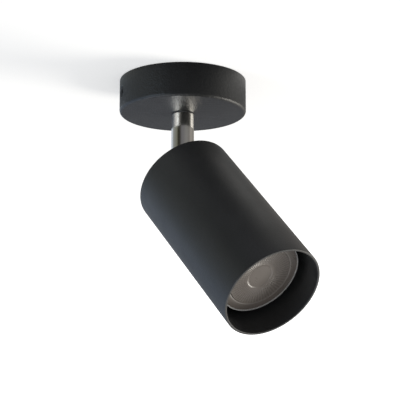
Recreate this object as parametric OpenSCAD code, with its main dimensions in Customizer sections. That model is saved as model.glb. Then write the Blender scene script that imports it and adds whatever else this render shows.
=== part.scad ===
// Ceiling spotlight: a round canopy, a short swivelling stem and one tilting cylindrical head
// that holds a twist-lock reflector lamp. Millimetres, +Z up, origin on the ceiling plane at the
// centre of the canopy, so that the whole light hangs below zero.

/* [Canopy] */
// Outer diameter of the canopy cup
canopy_d = 78; // [74:1:96]
// Height of the canopy cup, from the ceiling to its flat underside
canopy_h = 20.8; // [20:0.2:30]
// Thickness of the cup's side wall
canopy_wall = 2; // [1.8:0.1:3]
// Thickness of the cup's floor
canopy_floor = 2; // [1.6:0.1:3]
// Radius of the cup's rounded lower edge
canopy_edge_r = 1; // [0.4:0.1:1.6]
// Depth of the cup's side screws below the ceiling
side_screw_drop = 10; // [9:0.5:11]
// Thread diameter of the cup's side screws
side_screw_d = 3.5; // [3:0.1:4]
// Diameter of a side screw's countersunk head
side_screw_head_d = 6.6; // [6:0.1:7]
// Length of a side screw, from its head's flat face to its tip
side_screw_l = 8; // [6.5:0.5:10]

/* [Ceiling bracket] */
// Thickness of the bracket's sheet steel
strap_t = 1.5; // [1.2:0.1:2]
// Width of the bracket's strap
strap_w = 22; // [20:1:24]
// Width of the bent ears that take the side screws
ear_w = 12; // [9:0.5:12]
// Distance between the centres of the two ceiling slots
slot_spacing = 44; // [40:1:46]
// End-to-end length of a ceiling slot
slot_l = 12; // [8:0.5:12]
// Width of a ceiling slot
slot_w = 5; // [4:0.1:5.5]
// Diameter of the hole that holds the entry grommet
entry_hole_d = 12; // [11:0.5:13]
// Bore of the entry grommet
entry_bore_d = 9; // [6:0.5:9.5]

/* [Terminal block] */
// Distance between two poles of the terminal block
pole_pitch = 8; // [7.6:0.1:8.4]
// Width of the terminal block, across the wires' run
block_w = 15; // [14:0.5:16]
// Height of the terminal block below the bracket
block_h = 11; // [10.6:0.1:11.6]

/* [Stem] */
// Distance from the ceiling down to the tilt pivot
pivot_drop = 61.8; // [60:0.2:90]
// Outer diameter of the stem and of the knuckle
stem_d = 14; // [13.6:0.1:15]
// Outer diameter of the threaded tube inside the stem
nipple_d = 10; // [9.6:0.1:10.2]
// Bore of the threaded tube
nipple_bore_d = 7.4; // [6.8:0.1:8]
// Diameter of the sheathed cable inside the stem
cable_d = 6; // [5.4:0.1:6.4]
// Thickness of the nylon washer under the canopy
swivel_washer_t = 0.5; // [0.3:0.1:1]
// Height of the stem's hexagon nut
stem_nut_h = 3; // [2:0.2:3.4]
// Distance across the flats of the stem's hexagon nuts
nut_flats = 14; // [13:0.5:14.5]

/* [Knuckle] */
// Height of the knuckle's upper half above the pivot
knuckle_up = 16; // [14.5:0.5:20]
// Distance from the pivot to where each half becomes a full cylinder
knuckle_reach = 8.5; // [8:0.1:8.8]
// Thread diameter of the pivot screw
pivot_screw_d = 4; // [3.5:0.1:4.2]
// Diameter of the pivot screw's head
pivot_head_d = 6.6; // [6:0.1:7]
// Thickness of the friction washer between the halves
pivot_washer_t = 0.5; // [0.4:0.1:0.8]

/* [Head] */
// Gap between the lamp's face and the bore of the head's tube
lamp_side_gap = 4.1; // [3.6:0.1:8]
// Wall thickness of the head's tube
head_wall = 1.4; // [1:0.1:2]
// Distance from the tube's front edge back to the lamp's face
lens_recess = 14.8; // [12:0.2:20]
// Distance from the tilt pivot forward to the tube's rear edge
pivot_to_tube = 3.7; // [3:0.1:6]
// Depth of the rear cap inside the tube's rear edge
cap_inset = 8; // [7.6:0.2:10]
// Thickness of the rear cap's disc
cap_t = 3; // [2.6:0.1:4]
// Length of the rear cap's skirt in front of its disc
cap_skirt_l = 6; // [3:0.5:10]

/* [Lampholder] */
// Diameter of the ceramic lampholder
holder_d = 29; // [28:0.5:31]
// Height of the ceramic lampholder
holder_h = 17; // [16:0.5:19]
// Distance from the rear cap forward to the lampholder
holder_standoff = 18.2; // [17.4:0.2:30]
// Thickness of the lampholder bracket's sheet steel
holder_strap_t = 1; // [0.8:0.1:1.5]
// Distance from the head's axis to each holder screw
holder_screw_r = 10.3; // [10.2:0.1:10.6]

/* [Lamp] */
// Diameter of the lamp's face
lamp_d = 50; // [48:0.5:50.5]
// Length of the lamp from its face to its seat, without the pins
lamp_l = 47.8; // [46:0.2:48.4]
// Distance between the two pins
pin_spacing = 10; // [9.8:0.1:10.2]
// Angle that the lamp turns from locked to released
twist_angle = 45; // [30:1:50]

/* [Pose] */
// Compass angle of the head about the stem
head_azimuth = -67; // [-180:1:180]
// Tilt of the head from hanging straight down
head_tilt = 44; // [0:1:80]

/* [Hidden] */
$fn = 96;

// Clearances and the overrun that every cut shares
overrun = 1;
thread_gap = 0.04;
running_gap = 0.06;
seat_gap = 0.05;
loose_gap = 0.15;

// Canopy cup and its side screws
cup_r = canopy_d / 2;
cup_inner_r = cup_r - canopy_wall;
cup_floor_z = canopy_floor - canopy_h;
countersink_gap = 0.2;
countersink_sink = 0.25;
side_head_h = (side_screw_head_d - side_screw_d) / 2;
drive_w = 1;
drive_depth_share = 0.6;

// Ceiling bracket
ear_gap = 1.2;
ear_margin = 4;
ear_x = cup_inner_r - ear_gap;
rim_gap = 0.7;
grommet_flange_w = 2;
grommet_flange_t = 1;

// Terminal block, hung under a tab of the bracket
poles = 3;
block_gap = 1;
block_l = poles * pole_pitch;
block_y = strap_w / 2 + block_gap + block_w / 2;
pole_margin = 0.3;
tab_margin = 1;
web_h_share = 0.55;
insert_d = 5.6;
insert_bore_d = 4.2;
insert_end_gap = 0.8;
insert_depth_share = 0.6;
insert_z = -strap_t - block_h * insert_depth_share;
clamp_d = 2.6;
clamp_l = 3.4;
clamp_well_d = 3.6;
clamp_y_share = 0.27;
tower_d = 6;
fixing_d = 2;
fixing_head_d = 3.4;
fixing_head_h = 1.4;

// Wires
wire_d = 1.8;
wire_steps = 14;
wire_sides = 8;
wire_end_share = 0.06;
wire_in_insert = 1;
wire_pair_gap = 0.2;
wire_pitch = wire_d + wire_pair_gap;
strand_r = 1.3;
strand_clear = 0.2;

// Earthing points
earth_d = 4;
earth_head_d = 7;
earth_head_h = 2.4;
lug_t = 0.8;
lug_d = 8;
lug_barrel_d = 3;
lug_barrel_l = 5;
lug_z_gap = 0.02;
bracket_earth_x = 12.6;
bracket_earth_y = -6;

// What is stacked on the threaded tube inside the canopy
wave_washer_t = 0.6;
washer_w = 4;
stop_washer_t = 1;
stop_key_w = 2;
stop_key_depth = 0.8;
stop_pin_d = 2;
stop_pin_r = 14;
stop_pin_h = 3;
stop_pin_seat = 1.2;
stop_tab_w = 2;
nipple_above_nut = 1.7;
cable_above_nipple = 2;
wave_z = cup_floor_z + seat_gap;
stop_z = wave_z + wave_washer_t;
nut_z = stop_z + stop_washer_t;
nipple_top_z = nut_z + stem_nut_h + nipple_above_nut;
cable_top_z = nipple_top_z + cable_above_nipple;
sleeve_top_z = -canopy_h - seat_gap - swivel_washer_t;
swivel_washer_inset = 0.4;

// Knuckle, measured from the pivot
stem_r = stem_d / 2;
half_gap = pivot_washer_t / 2 + seat_gap;
nipple_seat_z = 9.5;
pocket_r_share = 0.78;
boss_r = 3.2;
pocket_depth = 3.2;
pivot_washer_w = 1.2;
pivot_seat_y = 4.4;
pivot_head_h = 2;
pivot_socket_flats = 2.5;
pivot_socket_depth = 1.3;
pivot_tip_inset = 1;
cable_bore_start = 4;

// Head, measured forward from the pivot along its axis
bore_r = lamp_d / 2 + lamp_side_gap;
head_r = bore_r + head_wall;
rim_round = 0.35;
cap_z = pivot_to_tube + cap_inset;
cap_front_z = cap_z + cap_t;
cap_skirt_wall = 1.5;
cap_edge = 0.4;
holder_base_z = cap_front_z;
lock_washer_t = 0.8;
lock_washer_w = 3;
cap_nut_h = 3;
lock_washer_z = holder_base_z + holder_strap_t;
cap_nut_z = lock_washer_z + lock_washer_t;
stud_above_nut = 1;
cable_above_stud = 1.5;
stud_tip_z = cap_nut_z + cap_nut_h + stud_above_nut;
head_cable_z = nipple_seat_z;
head_cable_tip_z = stud_tip_z + cable_above_stud;

// The lampholder, the lamp and the tube's front edge, one after the other from the rear cap
lamp_seat_gap = 0.2;
holder_z = cap_front_z + holder_standoff;
holder_front_z = holder_z + holder_h;
lamp_seat_z = holder_front_z + lamp_seat_gap;
lens_z = lamp_seat_z + lamp_l;
tube_front = lens_z + lens_recess;

// Lamp
lamp_r = lamp_d / 2;
lamp_wall = 1.2;
lamp_rim_l = 5;
lamp_rim_round = 0.7;
lamp_taper_end = 56;
lamp_neck_r = 13.6;
lamp_neck_l = 3.8;
lamp_base_h = 14;
lamp_base_r = 12.5;
lamp_base_edge = 0.8;
lamp_taper_z = lens_z - lamp_rim_l;
lamp_taper_l = lamp_l - lamp_rim_l - lamp_neck_l - lamp_base_h;
taper_steps = 10;
bezel_w = 0.8;
lens_r = lamp_r - bezel_w;
lens_plate_t = 1.6;
lens_step_r = 19;
lens_step_h = 0.35;
lens_eye_r = 8.2;
lens_eye_depth = 0.7;
lens_cone_tip_r = 7.4;
lens_pocket_r = 4.8;
lens_pocket_depth = 5;
board_r = 12;
board_t = 1.2;
chip_r = 4;
chip_h = 0.6;
board_gap = 0.9;
spreader_t = 3;
driver_gap = 3.55;
optic_room = lamp_l - lamp_base_h - driver_gap - spreader_t - seat_gap - board_t - board_gap
    - lens_plate_t;
optic_share = 21 / 47;
lens_cone_l = optic_room * optic_share;
spreader_top_z = lens_z - lens_plate_t - lens_cone_l - board_gap - board_t - seat_gap;
spreader_z = spreader_top_z - spreader_t;
driver_w = 18;
driver_t = 1.4;
driver_base_z = lamp_seat_z + lamp_base_h;
driver_l = spreader_z - driver_gap - driver_base_z;
capacitor_r = 3;
pin_neck_r = 1.5;
pin_neck_l = 4.5;
pin_head_r = 2.5;
pin_head_h = 2.8;
pin_root = 3;

// Lampholder
holder_r = holder_d / 2;
holder_edge = 0.8;
face_plate_t = 3.4;
chamber_r = 7.8;
chamber_core_r = 2;
chamber_h = 5.2;
slot_gap = 0.25;
entry_gap = 0.3;
holder_screw_d = 3;
holder_head_d = 5.4;
holder_head_h = 1.8;
holder_head_sink = 2.6;
holder_screw_gap = 0.15;
holder_screw_tip = 1.2;
contact_t = 0.7;
contact_gap = 0.35;
contact_lead_angle = 12;
contact_inner_r = 3.2;
contact_outer_r = 6.9;
crimp_r = 1.3;
crimp_l = 4;
lead_hole_r = 1.7;
lead_hole_y = 5.6;
holder_leg_w = 14;
holder_foot_r = 14;
holder_flange_l = 7.6;
holder_seat_gap = 0.02;
holder_tab_z = holder_z - holder_strap_t - holder_seat_gap;
head_earth_inset = 10.1;
head_earth_y = bore_r - head_earth_inset;
head_earth_l = 2.2;

// Places the parts that turn with the stem, measured from the pivot with Z up
module at_pivot() translate([0, 0, -pivot_drop]) rotate([0, 0, head_azimuth]) children();

// Places the parts that turn with the stem, measured from the ceiling
module at_stem() rotate([0, 0, head_azimuth]) children();

// Places the parts of the head and lamp: Z runs from the pivot out through the tube's mouth
module at_head() at_pivot() rotate([0, 180 - head_tilt, 0]) children();

module tube(outer_r, inner_r, height) {
    difference() {
        cylinder(r = outer_r, h = height);
        translate([0, 0, -overrun]) cylinder(r = inner_r, h = height + 2 * overrun);
    }
}

module hex_nut(flats, bore_r, height) {
    difference() {
        cylinder(d = flats / cos(30), h = height, $fn = 6);
        translate([0, 0, -overrun]) cylinder(r = bore_r, h = height + 2 * overrun);
    }
}

// A cylinder that runs from one height to another
module rod(r, from, to) translate([0, 0, from]) cylinder(r = r, h = to - from);

// Points of an arc about a centre, for rounding a turned edge
function arc(centre, r, from, to, steps = 6) = [
    for (i = [0:steps])
        let (a = from + (to - from) * i / steps) centre + r * [cos(a), sin(a)]
];

function backwards(list) = [for (i = [len(list) - 1:-1:0]) list[i]];

// A wire's route: one cubic curve that leaves its start towards p[1] and meets its end from p[2]
function bezier(p, t) =
    pow(1 - t, 3) * p[0] + 3 * t * pow(1 - t, 2) * p[1] + 3 * t * t * (1 - t) * p[2]
    + pow(t, 3) * p[3];
function route(p) = concat(
    [p[0], p[0] + wire_end_share * (p[1] - p[0])],
    [for (i = [1:wire_steps - 1]) bezier(p, i / wire_steps)],
    [p[3] - wire_end_share * (p[3] - p[2]), p[3]]
);
function unit(v) = v / norm(v);
function heading(path, i) =
    unit(path[min(i + 1, len(path) - 1)] - path[max(i - 1, 0)]);

// A round wire swept along its route; side is a direction that the route never follows
module wire(path, side, r = wire_d / 2) {
    count = len(path);
    points = [
        for (i = [0:count - 1])
            let (
                t = heading(path, i),
                u = unit(cross(t, side)),
                v = cross(t, u)
            )
            for (k = [0:wire_sides - 1])
                path[i] + r * (cos(360 * k / wire_sides) * u + sin(360 * k / wire_sides) * v)
    ];
    walls = [
        for (i = [0:count - 2], k = [0:wire_sides - 1])
            let (
                n = (k + 1) % wire_sides,
                a = i * wire_sides + k,
                b = i * wire_sides + n,
                c = (i + 1) * wire_sides + n,
                d = (i + 1) * wire_sides + k
            )
            each [[a, b, c], [a, c, d]]
    ];
    start_cap = [[for (k = [wire_sides - 1:-1:0]) k]];
    end_cap = [[for (k = [0:wire_sides - 1]) (count - 1) * wire_sides + k]];
    polyhedron(points = points, faces = concat(walls, start_cap, end_cap));
}

// Canopy

module canopy_cup() {
    color("#2b2c2d")
    difference() {
        rotate_extrude()
            polygon(concat(
                [[0, cup_floor_z], [0, -canopy_h]],
                arc([cup_r - canopy_edge_r, canopy_edge_r - canopy_h], canopy_edge_r, -90, 0),
                [[cup_r, 0], [cup_inner_r, 0], [cup_inner_r, cup_floor_z]]
            ));
        rod(nipple_d / 2 + running_gap, -canopy_h - overrun, overrun);
        side_screw_places() {
            rotate([0, 90, 0]) {
                rod(side_screw_d / 2 + loose_gap, 0, cup_r);
                translate([0, 0, cup_r - side_head_h - countersink_sink - countersink_gap])
                    cylinder(
                        r1 = side_screw_d / 2,
                        r2 = side_screw_d / 2 + side_head_h + countersink_gap + 2 * countersink_sink,
                        h = side_head_h + countersink_gap + 2 * countersink_sink
                    );
            }
        }
        stop_pin_place() rod(stop_pin_d / 2 + thread_gap, -stop_pin_seat, overrun);
    }
}

module side_screw_places() {
    for (side = [0, 180])
        rotate([0, 0, side]) translate([0, 0, -side_screw_drop]) children();
}

module canopy_screws() {
    head_z = cup_r - countersink_sink;
    color("#1d1e1f")
    side_screw_places() rotate([0, 90, 0])
        difference() {
            union() {
                rod(side_screw_d / 2, head_z - side_screw_l, head_z - side_head_h);
                translate([0, 0, head_z - side_head_h])
                    cylinder(r1 = side_screw_d / 2, r2 = side_screw_head_d / 2, h = side_head_h);
            }
            for (turn = [45, 135])
                rotate([0, 0, turn])
                    translate([
                        -side_screw_d / 2,
                        -drive_w / 2,
                        head_z - side_head_h * drive_depth_share
                    ])
                    cube([side_screw_d, drive_w, side_head_h]);
        }
}

// The pin that stops the stem from turning all the way round
module stop_pin_place() {
    rotate([0, 0, head_azimuth + 180]) translate([stop_pin_r, 0, cup_floor_z]) children();
}

module stop_pin() {
    color("#9a9ca0")
    stop_pin_place() rod(stop_pin_d / 2, -stop_pin_seat, stop_pin_h);
}

// Ceiling bracket

module strap_outline() {
    intersection() {
        union() {
            square([2 * ear_x, strap_w], center = true);
            translate([-block_l / 2 - tab_margin, 0])
                square([block_l + 2 * tab_margin, block_y + block_w / 2]);
        }
        circle(r = cup_inner_r - rim_gap);
    }
}

module slot_shape() {
    run = slot_l - slot_w;
    square([run, slot_w], center = true);
    for (end = [-1, 1]) translate([end * run / 2, 0]) circle(d = slot_w);
}

module ceiling_bracket() {
    ear_l = side_screw_drop + ear_margin;
    color("#b4b7ba")
    difference() {
        union() {
            translate([0, 0, -strap_t]) linear_extrude(strap_t)
                difference() {
                    strap_outline();
                    for (side = [-1, 1]) translate([side * slot_spacing / 2, 0]) slot_shape();
                    circle(d = entry_hole_d);
                }
            for (side = [-1, 1])
                translate([side * (ear_x - strap_t / 2), 0, -ear_l / 2])
                    cube([strap_t, ear_w, ear_l], center = true);
        }
        side_screw_places() rotate([0, 90, 0]) rod(side_screw_d / 2 + thread_gap, 0, cup_r);
        translate([-bracket_earth_x, bracket_earth_y, 0])
            rod(earth_d / 2 + thread_gap, -strap_t - overrun, overrun);
        fixing_place() rod(fixing_d / 2 + thread_gap, -strap_t - overrun, overrun);
    }
}

module entry_grommet() {
    color("#17181a")
    difference() {
        union() {
            rod(entry_hole_d / 2 - seat_gap, -strap_t - seat_gap - grommet_flange_t, 0);
            rod(
                entry_hole_d / 2 + grommet_flange_w,
                -strap_t - seat_gap - grommet_flange_t,
                -strap_t - seat_gap
            );
        }
        rod(entry_bore_d / 2, -strap_t - grommet_flange_t - overrun, overrun);
    }
}

// Terminal block

function pole_x(i) = (i - (poles - 1) / 2) * pole_pitch;

module pole_places() {
    for (i = [0:poles - 1]) translate([pole_x(i), block_y, 0]) children();
}

module clamp_places() {
    for (side = [-1, 1]) translate([0, side * block_w * clamp_y_share, 0]) children();
}

module fixing_place() translate([pole_x(0) + pole_pitch / 2, block_y, 0]) children();

module terminal_block() {
    block_z = -strap_t - seat_gap;
    floor_z = block_z - block_h;
    color("#e7e6df")
    difference() {
        union() {
            pole_places() {
                translate([
                    -pole_pitch / 2 + pole_margin,
                    -block_w / 2,
                    insert_z - insert_d / 2 - pole_margin
                ])
                    cube([
                        pole_pitch - 2 * pole_margin,
                        block_w,
                        block_z - insert_z + insert_d / 2 + pole_margin
                    ]);
                clamp_places() rod(tower_d / 2, floor_z, block_z);
            }
            translate([
                -block_l / 2 + pole_margin,
                block_y - block_w / 4,
                block_z - block_h * web_h_share
            ])
                cube([block_l - 2 * pole_margin, block_w / 2, block_h * web_h_share]);
        }
        pole_places() {
            translate([0, block_w / 2 + overrun, insert_z]) rotate([90, 0, 0])
                cylinder(r = insert_d / 2 + seat_gap, h = block_w + 2 * overrun);
            clamp_places() rod(clamp_well_d / 2, floor_z - overrun, insert_z);
        }
        fixing_place() {
            rod(fixing_d / 2 + loose_gap, floor_z, block_z + overrun);
            rod(fixing_head_d / 2 + loose_gap, floor_z, block_z - block_h * web_h_share / 2);
        }
    }
}

module terminal_inserts() {
    length = block_w - 2 * insert_end_gap;
    color("#c9a45a")
    pole_places() difference() {
        translate([0, length / 2, insert_z]) rotate([90, 0, 0])
            tube(insert_d / 2, insert_bore_d / 2, length);
        clamp_places()
            rod(clamp_d / 2 + thread_gap, insert_z - insert_d, insert_z);
    }
}

module terminal_screws() {
    tip_z = insert_z - insert_bore_d / 4;
    color("#a9acae")
    pole_places() clamp_places() difference() {
        rod(clamp_d / 2, tip_z - clamp_l, tip_z);
        translate([-clamp_d, -drive_w / 4, tip_z - clamp_l - overrun])
            cube([2 * clamp_d, drive_w / 2, overrun + drive_w / 2]);
    }
}

module terminal_fixing_screw() {
    head_z = -strap_t - seat_gap - block_h * web_h_share / 2;
    color("#a9acae")
    fixing_place() difference() {
        union() {
            rod(fixing_d / 2, head_z, 0);
            rod(fixing_head_d / 2, head_z - fixing_head_h, head_z);
        }
        translate([-fixing_head_d, -drive_w / 4, head_z - fixing_head_h - overrun])
            cube([2 * fixing_head_d, drive_w / 2, overrun + drive_w / 2]);
    }
}

// Earthing points: a ring lug under a screw, with its barrel along +Y

module earth_lug() {
    difference() {
        union() {
            cylinder(d = lug_d, h = lug_t);
            translate([-lug_barrel_d / 2, 0, 0]) cube([lug_barrel_d, lug_d / 2 + overrun, lug_t]);
            translate([0, lug_d / 2, lug_barrel_d / 2]) rotate([-90, 0, 0])
                cylinder(d = lug_barrel_d, h = lug_barrel_l);
        }
        translate([0, 0, -overrun]) cylinder(r = earth_d / 2 + loose_gap, h = lug_t + 2 * overrun);
    }
}

module earth_screw(length) {
    difference() {
        union() {
            rod(earth_d / 2, -length, 0);
            rod(earth_head_d / 2, lug_t + lug_z_gap, lug_t + lug_z_gap + earth_head_h);
            rod(earth_d / 2, 0, lug_t + lug_z_gap);
        }
        for (turn = [0, 90])
            rotate([0, 0, turn])
                translate([-earth_d / 2, -drive_w / 2, lug_t + earth_head_h - drive_w])
                cube([earth_d, drive_w, 2 * drive_w]);
    }
}

module bracket_earth_place() {
    translate([-bracket_earth_x, bracket_earth_y, -strap_t - lug_z_gap])
        rotate([0, 180, 0]) children();
}

module bracket_earth_lug() {
    color("#c8cacc") bracket_earth_place() earth_lug();
}

module bracket_earth_screw() {
    color("#b79a54") bracket_earth_place() earth_screw(strap_t);
}

// Leads inside the canopy: each leaves the sheathed cable upwards and enters its pole along +Y

function strand(angle) = strand_r * [cos(angle), sin(angle), 0];

module canopy_lead(pole, angle, shift) {
    start = strand(angle) + [0, 0, cable_top_z + strand_clear];
    end = [
        pole_x(pole) + shift,
        block_y - block_w / 2 + insert_end_gap + wire_in_insert,
        insert_z
    ];
    rise = block_gap + wire_d;
    approach = block_w / 2;
    wire(
        route([start, start + [0, 0, 2 * rise], end - [0, approach, -rise], end]),
        [1, 0, 0]
    );
}

module canopy_live_lead() color("#6b3f22") canopy_lead(2, -30, 0);
module canopy_neutral_lead() color("#2f62b8") canopy_lead(1, 90, 0);
module canopy_earth_lead() color("#7d9a2a") canopy_lead(0, 210, wire_pitch / 2);

module bracket_earth_lead() {
    start = [
        -bracket_earth_x,
        bracket_earth_y + lug_d / 2 + lug_barrel_l + strand_clear,
        -strap_t - lug_z_gap - lug_barrel_d / 2
    ];
    end = [
        pole_x(0) - wire_pitch / 2,
        block_y - block_w / 2 + insert_end_gap + wire_in_insert,
        insert_z
    ];
    reach = (end[1] - start[1]) / 2;
    color("#7d9a2a")
    wire(route([start, start + [0, reach, 0], end - [0, reach, 0], end]), [0, 0, 1]);
}

// Stem

module swivel_washer() {
    color("#151617")
    at_stem() translate([0, 0, sleeve_top_z])
        tube(stem_r - swivel_washer_inset, nipple_d / 2 + loose_gap, swivel_washer_t);
}

module stem_sleeve() {
    end_z = knuckle_up - pivot_drop;
    color("#b3afa8")
    at_stem() translate([0, 0, end_z])
        tube(stem_r, nipple_d / 2 + loose_gap, sleeve_top_z - end_z);
}

module threaded_tube() {
    start_z = nipple_seat_z - pivot_drop;
    color("#c2bfb6")
    at_stem() difference() {
        translate([0, 0, start_z])
            tube(nipple_d / 2, nipple_bore_d / 2, nipple_top_z - start_z);
        translate([-nipple_d / 2 - overrun, -stop_key_w / 2, wave_z])
            cube([stop_key_depth + overrun, stop_key_w, nipple_top_z - wave_z + overrun]);
    }
}

module wave_washer() {
    color("#a6a9ad")
    at_stem() translate([0, 0, wave_z])
        tube(nipple_d / 2 + washer_w, nipple_d / 2 + loose_gap, wave_washer_t);
}

module stop_washer() {
    key_w = stop_key_w - 2 * loose_gap;
    tab_l = stop_pin_r + stop_pin_d / 2;
    color("#bfc1c4")
    at_stem() translate([0, 0, stop_z]) {
        difference() {
            union() {
                cylinder(r = nipple_d / 2 + washer_w, h = stop_washer_t);
                translate([0, -stop_tab_w / 2, 0]) cube([tab_l, stop_tab_w, stop_washer_t]);
            }
            translate([0, 0, -overrun]) difference() {
                cylinder(r = nipple_d / 2 + loose_gap, h = stop_washer_t + 2 * overrun);
                translate([-nipple_d, -key_w / 2, -overrun])
                    cube([
                        nipple_d / 2 + stop_key_depth - loose_gap,
                        key_w,
                        stop_washer_t + 4 * overrun
                    ]);
            }
        }
    }
}

module stem_nut() {
    color("#cbb26a")
    at_stem() translate([0, 0, nut_z])
        hex_nut(nut_flats, nipple_d / 2 + thread_gap, stem_nut_h);
}

module stem_cable() {
    color("#202123")
    at_stem() rod(cable_d / 2, nipple_seat_z - pivot_drop, cable_top_z);
}

// Knuckle: two half cylinders that meet at a friction washer on the pivot

module knuckle_half() {
    intersection() {
        cylinder(r = stem_r, h = 2 * knuckle_up, center = true);
        union() {
            translate([-stem_d, half_gap, 0]) cube([2 * stem_d, stem_d, knuckle_up]);
            translate([0, half_gap, 0]) rotate([-90, 0, 0]) cylinder(r = stem_r, h = stem_d);
            translate([-stem_d, -stem_d, knuckle_reach])
                cube([2 * stem_d, 2 * stem_d, knuckle_up]);
        }
    }
}

// The hollow round the pivot screw that lets the wires pass
module wire_pocket() {
    translate([0, half_gap - overrun, 0]) rotate([-90, 0, 0])
        difference() {
            cylinder(r = stem_r * pocket_r_share, h = pocket_depth + overrun);
            translate([0, 0, -overrun]) cylinder(r = boss_r, h = pocket_depth + 3 * overrun);
        }
}

module knuckle_upper() {
    color("#b3afa8")
    at_pivot() difference() {
        intersection() {
            knuckle_half();
            translate([0, 0, knuckle_up / 2 - stem_r])
                cube([2 * stem_d, 2 * stem_d, knuckle_up + stem_d], center = true);
        }
        rod(nipple_d / 2 + thread_gap, nipple_seat_z, knuckle_up + overrun);
        difference() {
            rod(nipple_bore_d / 2, cable_bore_start, nipple_seat_z + overrun);
            translate([0, stem_r, 0]) rotate([90, 0, 0]) cylinder(r = boss_r, h = stem_d);
        }
        wire_pocket();
        rotate([-90, 0, 0]) {
            rod(pivot_screw_d / 2 + running_gap, 0, stem_d);
            rod(pivot_head_d / 2 + loose_gap, pivot_seat_y, stem_d);
        }
    }
}

module knuckle_lower() {
    color("#b3afa8")
    at_head() difference() {
        union() {
            intersection() {
                rotate([0, 0, 180]) knuckle_half();
                translate([0, 0, cap_z - knuckle_up])
                    cube([2 * stem_d, 2 * stem_d, 2 * knuckle_up], center = true);
            }
            rod(nipple_d / 2, cap_z - overrun, stud_tip_z);
        }
        difference() {
            rod(nipple_bore_d / 2, cable_bore_start, stud_tip_z + overrun);
            translate([0, stem_r, 0]) rotate([90, 0, 0]) cylinder(r = boss_r, h = stem_d);
        }
        rotate([0, 0, 180]) wire_pocket();
        rotate([90, 0, 0]) rod(pivot_screw_d / 2 + thread_gap, -overrun, stem_d);
    }
}

module pivot_screw() {
    tip_y = stem_r - pivot_tip_inset;
    color("#d0cec8")
    at_head() rotate([-90, 0, 0]) difference() {
        union() {
            rod(pivot_screw_d / 2, -tip_y, pivot_seat_y + seat_gap);
            rod(pivot_head_d / 2, pivot_seat_y + seat_gap, pivot_seat_y + seat_gap + pivot_head_h);
        }
        translate([0, 0, pivot_seat_y + seat_gap + pivot_head_h - pivot_socket_depth])
            cylinder(d = pivot_socket_flats / cos(30), h = pivot_head_h, $fn = 6);
    }
}

module pivot_washer() {
    outer_r = stem_r - swivel_washer_inset;
    color("#26272a")
    at_head() rotate([-90, 0, 0]) translate([0, 0, -pivot_washer_t / 2])
        tube(outer_r, outer_r - pivot_washer_w, pivot_washer_t);
}

// Head

module head_tube() {
    rear = pivot_to_tube;
    color("#292a2b")
    at_head() rotate_extrude()
        polygon(concat(
            arc([head_r - rim_round, rear + rim_round], rim_round, -90, 0, 4),
            arc([head_r - rim_round, tube_front - rim_round], rim_round, 0, 90, 4),
            arc([bore_r + rim_round, tube_front - rim_round], rim_round, 90, 180, 4),
            arc([bore_r + rim_round, rear + rim_round], rim_round, 180, 270, 4)
        ));
}

module rear_cap() {
    outer_r = bore_r - seat_gap;
    color("#242526")
    at_head() difference() {
        rotate_extrude() polygon([
            [nipple_d / 2 + loose_gap, cap_z],
            [outer_r - cap_edge, cap_z],
            [outer_r, cap_z + cap_edge],
            [outer_r, cap_front_z + cap_skirt_l],
            [outer_r - cap_skirt_wall, cap_front_z + cap_skirt_l],
            [outer_r - cap_skirt_wall, cap_front_z],
            [nipple_d / 2 + loose_gap, cap_front_z],
        ]);
        translate([0, head_earth_y, cap_front_z])
            rod(earth_d / 2 + thread_gap, -head_earth_l - thread_gap, overrun);
    }
}

module cap_lock_washer() {
    color("#a6a9ad")
    at_head() translate([0, 0, lock_washer_z])
        tube(nipple_d / 2 + lock_washer_w, nipple_d / 2 + loose_gap, lock_washer_t);
}

module cap_nut() {
    color("#cbb26a")
    at_head() translate([0, 0, cap_nut_z])
        hex_nut(nut_flats, nipple_d / 2 + thread_gap, cap_nut_h);
}

// A bent strap: its foot is clamped under the cap's nut and its two flanges carry the lampholder
module holder_bracket() {
    color("#b4b7ba")
    at_head() difference() {
        union() {
            translate([-holder_foot_r, -holder_leg_w / 2, holder_base_z])
                cube([2 * holder_foot_r, holder_leg_w, holder_strap_t]);
            for (side = [0, 180]) rotate([0, 0, side]) {
                translate([holder_foot_r - holder_strap_t, -holder_leg_w / 2, holder_base_z])
                    cube([
                        holder_strap_t,
                        holder_leg_w,
                        holder_tab_z + holder_strap_t - holder_base_z
                    ]);
                translate([holder_foot_r - holder_flange_l, -holder_leg_w / 2, holder_tab_z])
                    cube([holder_flange_l, holder_leg_w, holder_strap_t]);
            }
        }
        rod(nipple_d / 2 + loose_gap, 0, cap_nut_z);
        holder_screw_places()
            rod(holder_screw_d / 2 + thread_gap, holder_tab_z - overrun, holder_z + overrun);
    }
}

module holder_screw_places() {
    for (side = [0, 180]) rotate([0, 0, side]) translate([holder_screw_r, 0, 0]) children();
}

// Turns what follows to each pin's locked place, on the Y axis
module pin_places() {
    for (side = [90, 270]) rotate([0, 0, side]) children();
}

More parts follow.
